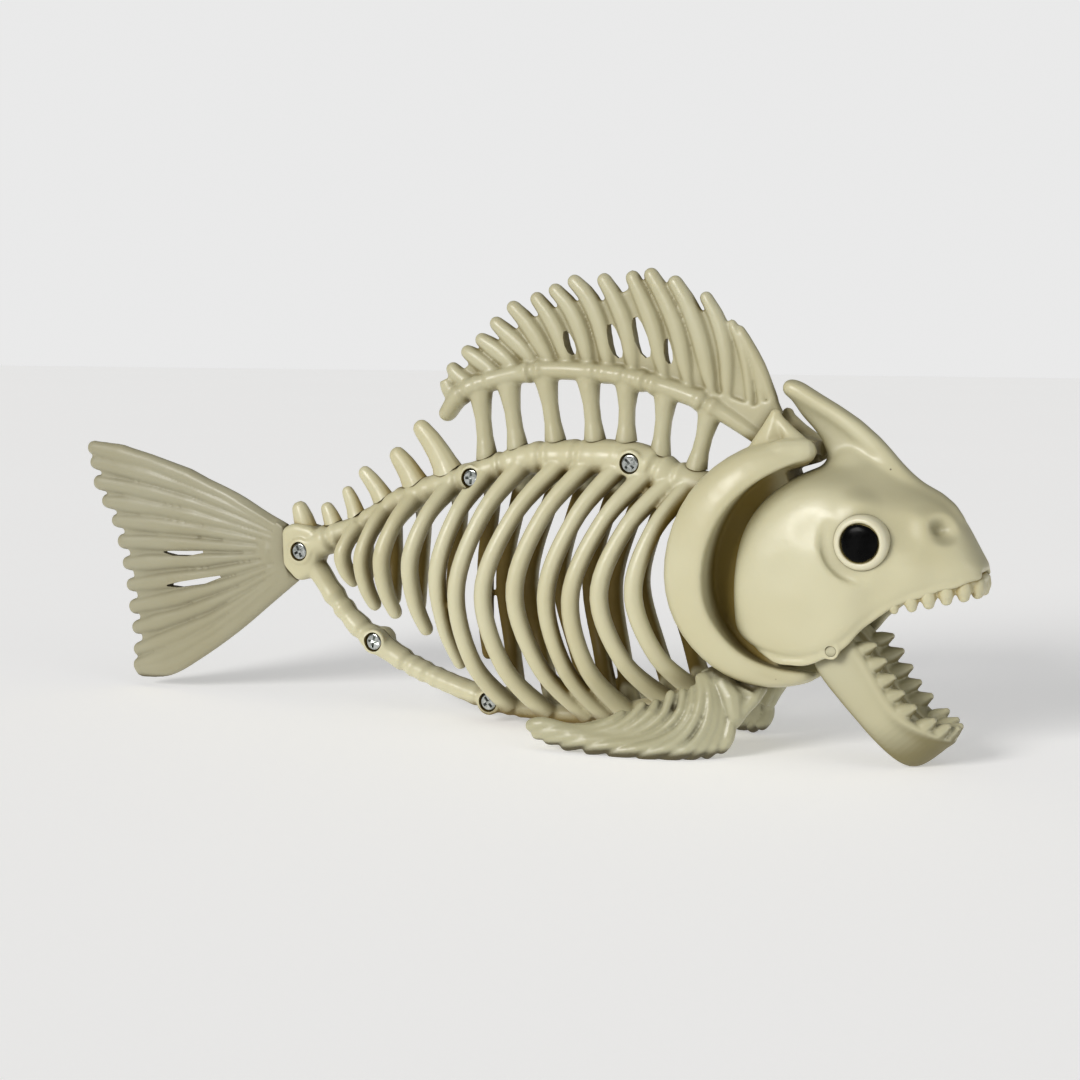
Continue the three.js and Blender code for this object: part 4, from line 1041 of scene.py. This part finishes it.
def jaw():
    bow = cage([jaw_ring(station) for station in jaw_path(17)])
    teeth = []
    for side in (-1, 1):
        for u, size in ((4.6, 0.9), (9.6, 1), (14.6, 1), (19.4, 1), (24.4, 1.05)):
            v = level_at(GUM_LINE, u)
            y = side * (JAW_HALF_WIDTH - 3.2)
            teeth.append(tooth(in_jaw(u, y, v - 0.8), in_jaw(u + 1.6, y, v + 4.1 * size), 2.75 * size))
    for k in range(6):
        angle = (-0.5 + (k + 0.5) / 6) * 2.3
        u = JAW_REACH - 17 + 13.6 * math.cos(angle)
        y = (JAW_HALF_WIDTH - 3.2) * math.sin(angle)
        v = level_at(GUM_LINE, u)
        teeth.append(tooth(in_jaw(u, y, v - 0.8), in_jaw(u + 0.6, y, v + 4.0), 2.6))
    body = mould([bow, *teeth], 0.36, 4)
    stand(body)
    for side in (-1, 1):
        pin = rod(*HINGE, PIN_RADIUS, side * (JAW_HALF_WIDTH + 3.6), side * (JAW_HALF_WIDTH - 1.2))
        weld(body, bevel_all(pin, 0.15, 2))
    return body


finish(jaw(), "jaw", jaw_bone, "lower_jaw", body="jaw")

UPPER_TEETH = [  # x, z of the tip, radius
    (112.6, -12.9, 1.7), (117.2, -12.2, 2.1), (121.6, -11.2, 2.3), (126, -10.1, 2.35), (130.2, -9.2, 2.4),
    (133.2, -8.6, 2.3), (133.8, -8.5, 1.5),
]
UPPER_GUM = [  # x, y and z, to one side
    (108, 12.4, -13.2), (112, 12.1, -11.4), (117, 11.3, -9.2), (122, 10.2, -7.6), (127, 8.4, -6.2),
    (131, 6.2, -5.2), (133.4, 3.4, -4.7), (134, 0, -4.6),
]


def upper():
    knots = UPPER_GUM + [(x, -y, z) for x, y, z in UPPER_GUM[-2::-1]]
    strip = tube([(x, y, z + 1.0, 1.5) for x, y, z in smooth_rows(knots, 43)], sides=10, tip=True, foot=True)
    teeth = []
    for side in (-1, 1):
        for x, tip_z, radius in UPPER_TEETH:
            y, z = level_at(UPPER_GUM, x), level_at(UPPER_GUM, x, 2)
            teeth.append(tooth((x, side * y, z + 0.6), (x + 0.5, side * y, tip_z), radius, PEG))
    return mould([strip, *teeth], 0.33, 3)


finish(upper(), "upper_tooth_strip", bone, "upper_teeth")

# ---- pectoral fins ----
PECTORAL_RAYS = [  # x, y and z from the tip to the root
    [(11.7, -29.4, -50.4), (15.9, -29.3, -49.6), (23.2, -27.8, -50.7),
     (30.3, -26.2, -50.0), (34.8, -24.4, -47.9), (37.1, -22.5, -46.3)],
    [(13.6, -29.4, -52.5), (20.6, -29.1, -51.3), (29.3, -27.3, -51.4),
     (36.2, -25.4, -49.6), (40.5, -23.2, -46.7), (42.7, -21.0, -43.5)],
    [(17.3, -29.2, -53.7), (25.2, -28.7, -52.4), (33.7, -26.7, -51.9),
     (40.5, -24.4, -49.7), (45.6, -22.0, -45.3), (46.4, -19.5, -42.8)],
    [(22.6, -28.9, -55.0), (29.7, -28.3, -53.2), (38.0, -26.0, -52.2),
     (44.7, -23.5, -49.8), (49.4, -20.8, -45.2), (50.3, -18.0, -40.1)],
    [(29.6, -28.4, -55.6), (36.3, -27.6, -54.1), (43.9, -25.2, -52.7),
     (49.5, -22.5, -49.8), (53.8, -19.6, -44.5), (53.4, -16.5, -39.6)],
    [(36.7, -27.5, -56.2), (44.5, -26.6, -54.6), (50.8, -24.1, -52.2),
     (55.1, -21.2, -48.4), (56.9, -18.2, -42.7), (56.2, -15.0, -38.7)],
    [(45.4, -26.4, -56.4), (52.4, -25.0, -53.9), (56.5, -22.5, -50.3),
     (59.0, -19.7, -45.1), (59.3, -16.7, -39.3), (57.4, -13.5, -35.4)],
    [(51.5, -24.4, -56.4), (57.8, -23.3, -54.0), (60.8, -21.0, -50.2),
     (62.1, -18.5, -44.5), (61.1, -15.8, -38.7), (58.1, -13.0, -35.1)],
    [(57.5, -21.9, -56.0), (61.1, -21.1, -53.6), (63.1, -19.2, -49.4),
     (63.7, -17.1, -44.0), (62.2, -14.9, -38.5), (58.9, -12.6, -34.8)],
    [(61.9, -19.4, -55.4), (64.2, -18.9, -52.4), (65.1, -17.4, -48.4),
     (65.3, -15.8, -43.0), (63.4, -14.0, -38.3), (59.6, -12.2, -34.6)],
    [(65.4, -17.4, -54.0), (67.4, -17.1, -50.6), (67.8, -16.0, -46.7),
     (67.3, -14.7, -42.4), (65.0, -13.4, -38.2), (60.8, -12.0, -34.2)],
]


def pectoral():
    rays = []
    for knots in PECTORAL_RAYS:
        radii = (2.0, 2.2, 2.1, 1.9, 1.75, 1.65, 1.6, 1.6, 1.6, 1.6, 1.55, 1.5)
        rows = [(*spot, radius) for spot, radius in zip(smooth_rows(knots, len(radii)), radii)]
        rays.append(tube(rows, sides=12, tip=True, foot=True))
    rings = []
    for knots in PECTORAL_RAYS:
        line = smooth_rows([along(knots, t) for t in (0.06, 0.37, 0.68, 1.0)], 4)
        outer = [(x, y + 0.2, z + 0.7) for x, y, z in line]
        rings.append(outer + [(x, y + 2.2, z - 0.3) for x, y, z in reversed(line)])
    web = cage(rings, 1)
    root = tube([(68.4, -14.8, -44.5, 3.0), (67.4, -13.8, -40.5, 3.6), (64.5, -12.0, -37, 3.8),
                 (60.5, -9.4, -35.6, 3.6), (57, -6.4, -36.6, 2.8)], sides=12, foot=True)
    gusset = tube([(68.6, -15, -47, 1.8), (70.6, -13.6, -43.4, 2.0), (73, -11.6, -40, 2.2),
                   (74.4, -9.8, -38.2, 2.2), (70, -8.4, -36.4, 2.6)], sides=12, tip=True, foot=True)
    spread = sheet([(60, -34.4), (66, -35.2), (73.4, -38.2), (71.4, -42.6), (69, -47.4), (65.6, -45),
                    (62, -39)], 3.4, -12)
    body = mould([web, root, gusset, spread, *rays], 0.42, 3)
    return stand(body)


right_fin = pectoral()
finish_pair(right_fin, copy_across(right_fin), "side_fin", side_fin_bone, "pectoral_fin")

# ---- neck ----
bpy.ops.mesh.primitive_cylinder_add(vertices=32, radius=7.4 * MM, depth=18.6 * MM, location=at(57, 0, -8),
                                    rotation=(0, math.pi / 2, 0))
neck = bevel_all(settle(bpy.context.object), 0.8, 3)
finish(neck, "neck_drum", neck_shade_brown, "neck")


# ---- screws ----
def screw(x, z, face_y, spin):
    """A pan head with a cross recess, and its shank."""
    head_part = rod(x, z, 2.85, face_y, face_y + 1.4, 40)
    open_up(head_part)
    pick_none()
    shell = bmesh.from_edit_mesh(head_part.data)
    for face in shell.faces:
        if face.normal.y < -0.9:
            face.select_set(True)
    bpy.ops.mesh.bevel(offset=0.7 * MM, segments=4, affect="EDGES")
    close_up()
    for angle in (spin, spin + math.pi / 2):
        bpy.ops.mesh.primitive_cube_add(size=1, location=at(x, face_y + 0.35, z), rotation=(0, angle, 0),
                                        scale=(3.8 * MM, 1.4 * MM, 0.85 * MM))
        cut(head_part, settle(bpy.context.object))
    shank = rod(x, z, 1.25, face_y + 1.3, face_y + 7.0, 16)
    return weld(head_part, shank)


for number, (x, z, face_y) in enumerate(SCREWS, 1):
    finish(screw(x, z, face_y, 0.4 + 0.7 * number), f"screw_head_{number}", steel, f"screw_{number}",
           crisp=30)

# ---- floor, light and camera ----
bpy.ops.mesh.primitive_plane_add(size=8, location=(0, 0, 0))
floor = bpy.context.object
floor.name = "floor"
paper, paper_shader = new_finish("pale_floor")
paper_bench = Bench(paper)
paper_bench.link(paper_bench.blend(paper_bench.noise(3.0), (0.86, 0.86, 0.86), (0.89, 0.89, 0.89)),
                 paper_shader.inputs["Base Color"])
paper_shader.inputs["Roughness"].default_value = 0.9
paper_shader.inputs["Emission Color"].default_value = (1.0, 1.0, 1.0, 1.0)
paper_shader.inputs["Emission Strength"].default_value = 0.34
floor.data.materials.append(paper)

world = bpy.data.worlds.new("studio")
bpy.context.scene.world = world
world.use_nodes = True
sky = world.node_tree.nodes["Background"]
sky.inputs["Color"].default_value = (1.0, 1.0, 1.0, 1)
seen = world.node_tree.nodes.new("ShaderNodeLightPath")
level = world.node_tree.nodes.new("ShaderNodeMapRange")
level.inputs["To Min"].default_value = 0.19
level.inputs["To Max"].default_value = 0.82
world.node_tree.links.new(seen.outputs["Is Camera Ray"], level.inputs["Value"])
world.node_tree.links.new(level.outputs["Result"], sky.inputs["Strength"])
bpy.context.scene.view_settings.view_transform = "Standard"


TARGET = Vector((0.0178, 0, 0.0572))
DISTANCE = 0.57
VIEW_WIDTH = 0.32724  # of the frame, at the fish


def towards(swing, height):
    """A heading from the fish, in degrees: from its right side towards its head, then up from the floor."""
    swing, height = math.radians(swing), math.radians(height)
    return Vector((math.sin(swing) * math.cos(height), -math.cos(swing) * math.cos(height), math.sin(height)))


def lamp(name, swing, height, power, spread, colour=(1, 1, 1)):
    """A soft far light that shines from a heading."""
    out = towards(swing, height)
    bpy.ops.object.light_add(type="SUN", location=TARGET + out)
    light = bpy.context.object
    light.name = name
    light.rotation_euler = out.to_track_quat("Z", "Y").to_euler()
    light.data.energy = power
    light.data.angle = math.radians(spread)
    light.data.color = colour


lamp("key", -22, 24, 2.0, 22, (1.0, 0.985, 0.96))
lamp("top", 40, 75, 0.15, 50)
lamp("side", 75, 15, 0.35, 40, (1.0, 0.985, 0.95))

back = towards(26.0, 6.5)
bpy.ops.object.camera_add(location=TARGET + DISTANCE * back)
camera = bpy.context.object
camera.rotation_euler = (-back).to_track_quat("-Z", "Y").to_euler()
camera.data.sensor_width = 36
camera.data.lens = camera.data.sensor_width * DISTANCE / VIEW_WIDTH
camera.data.clip_start = 0.01
bpy.context.scene.camera = camera
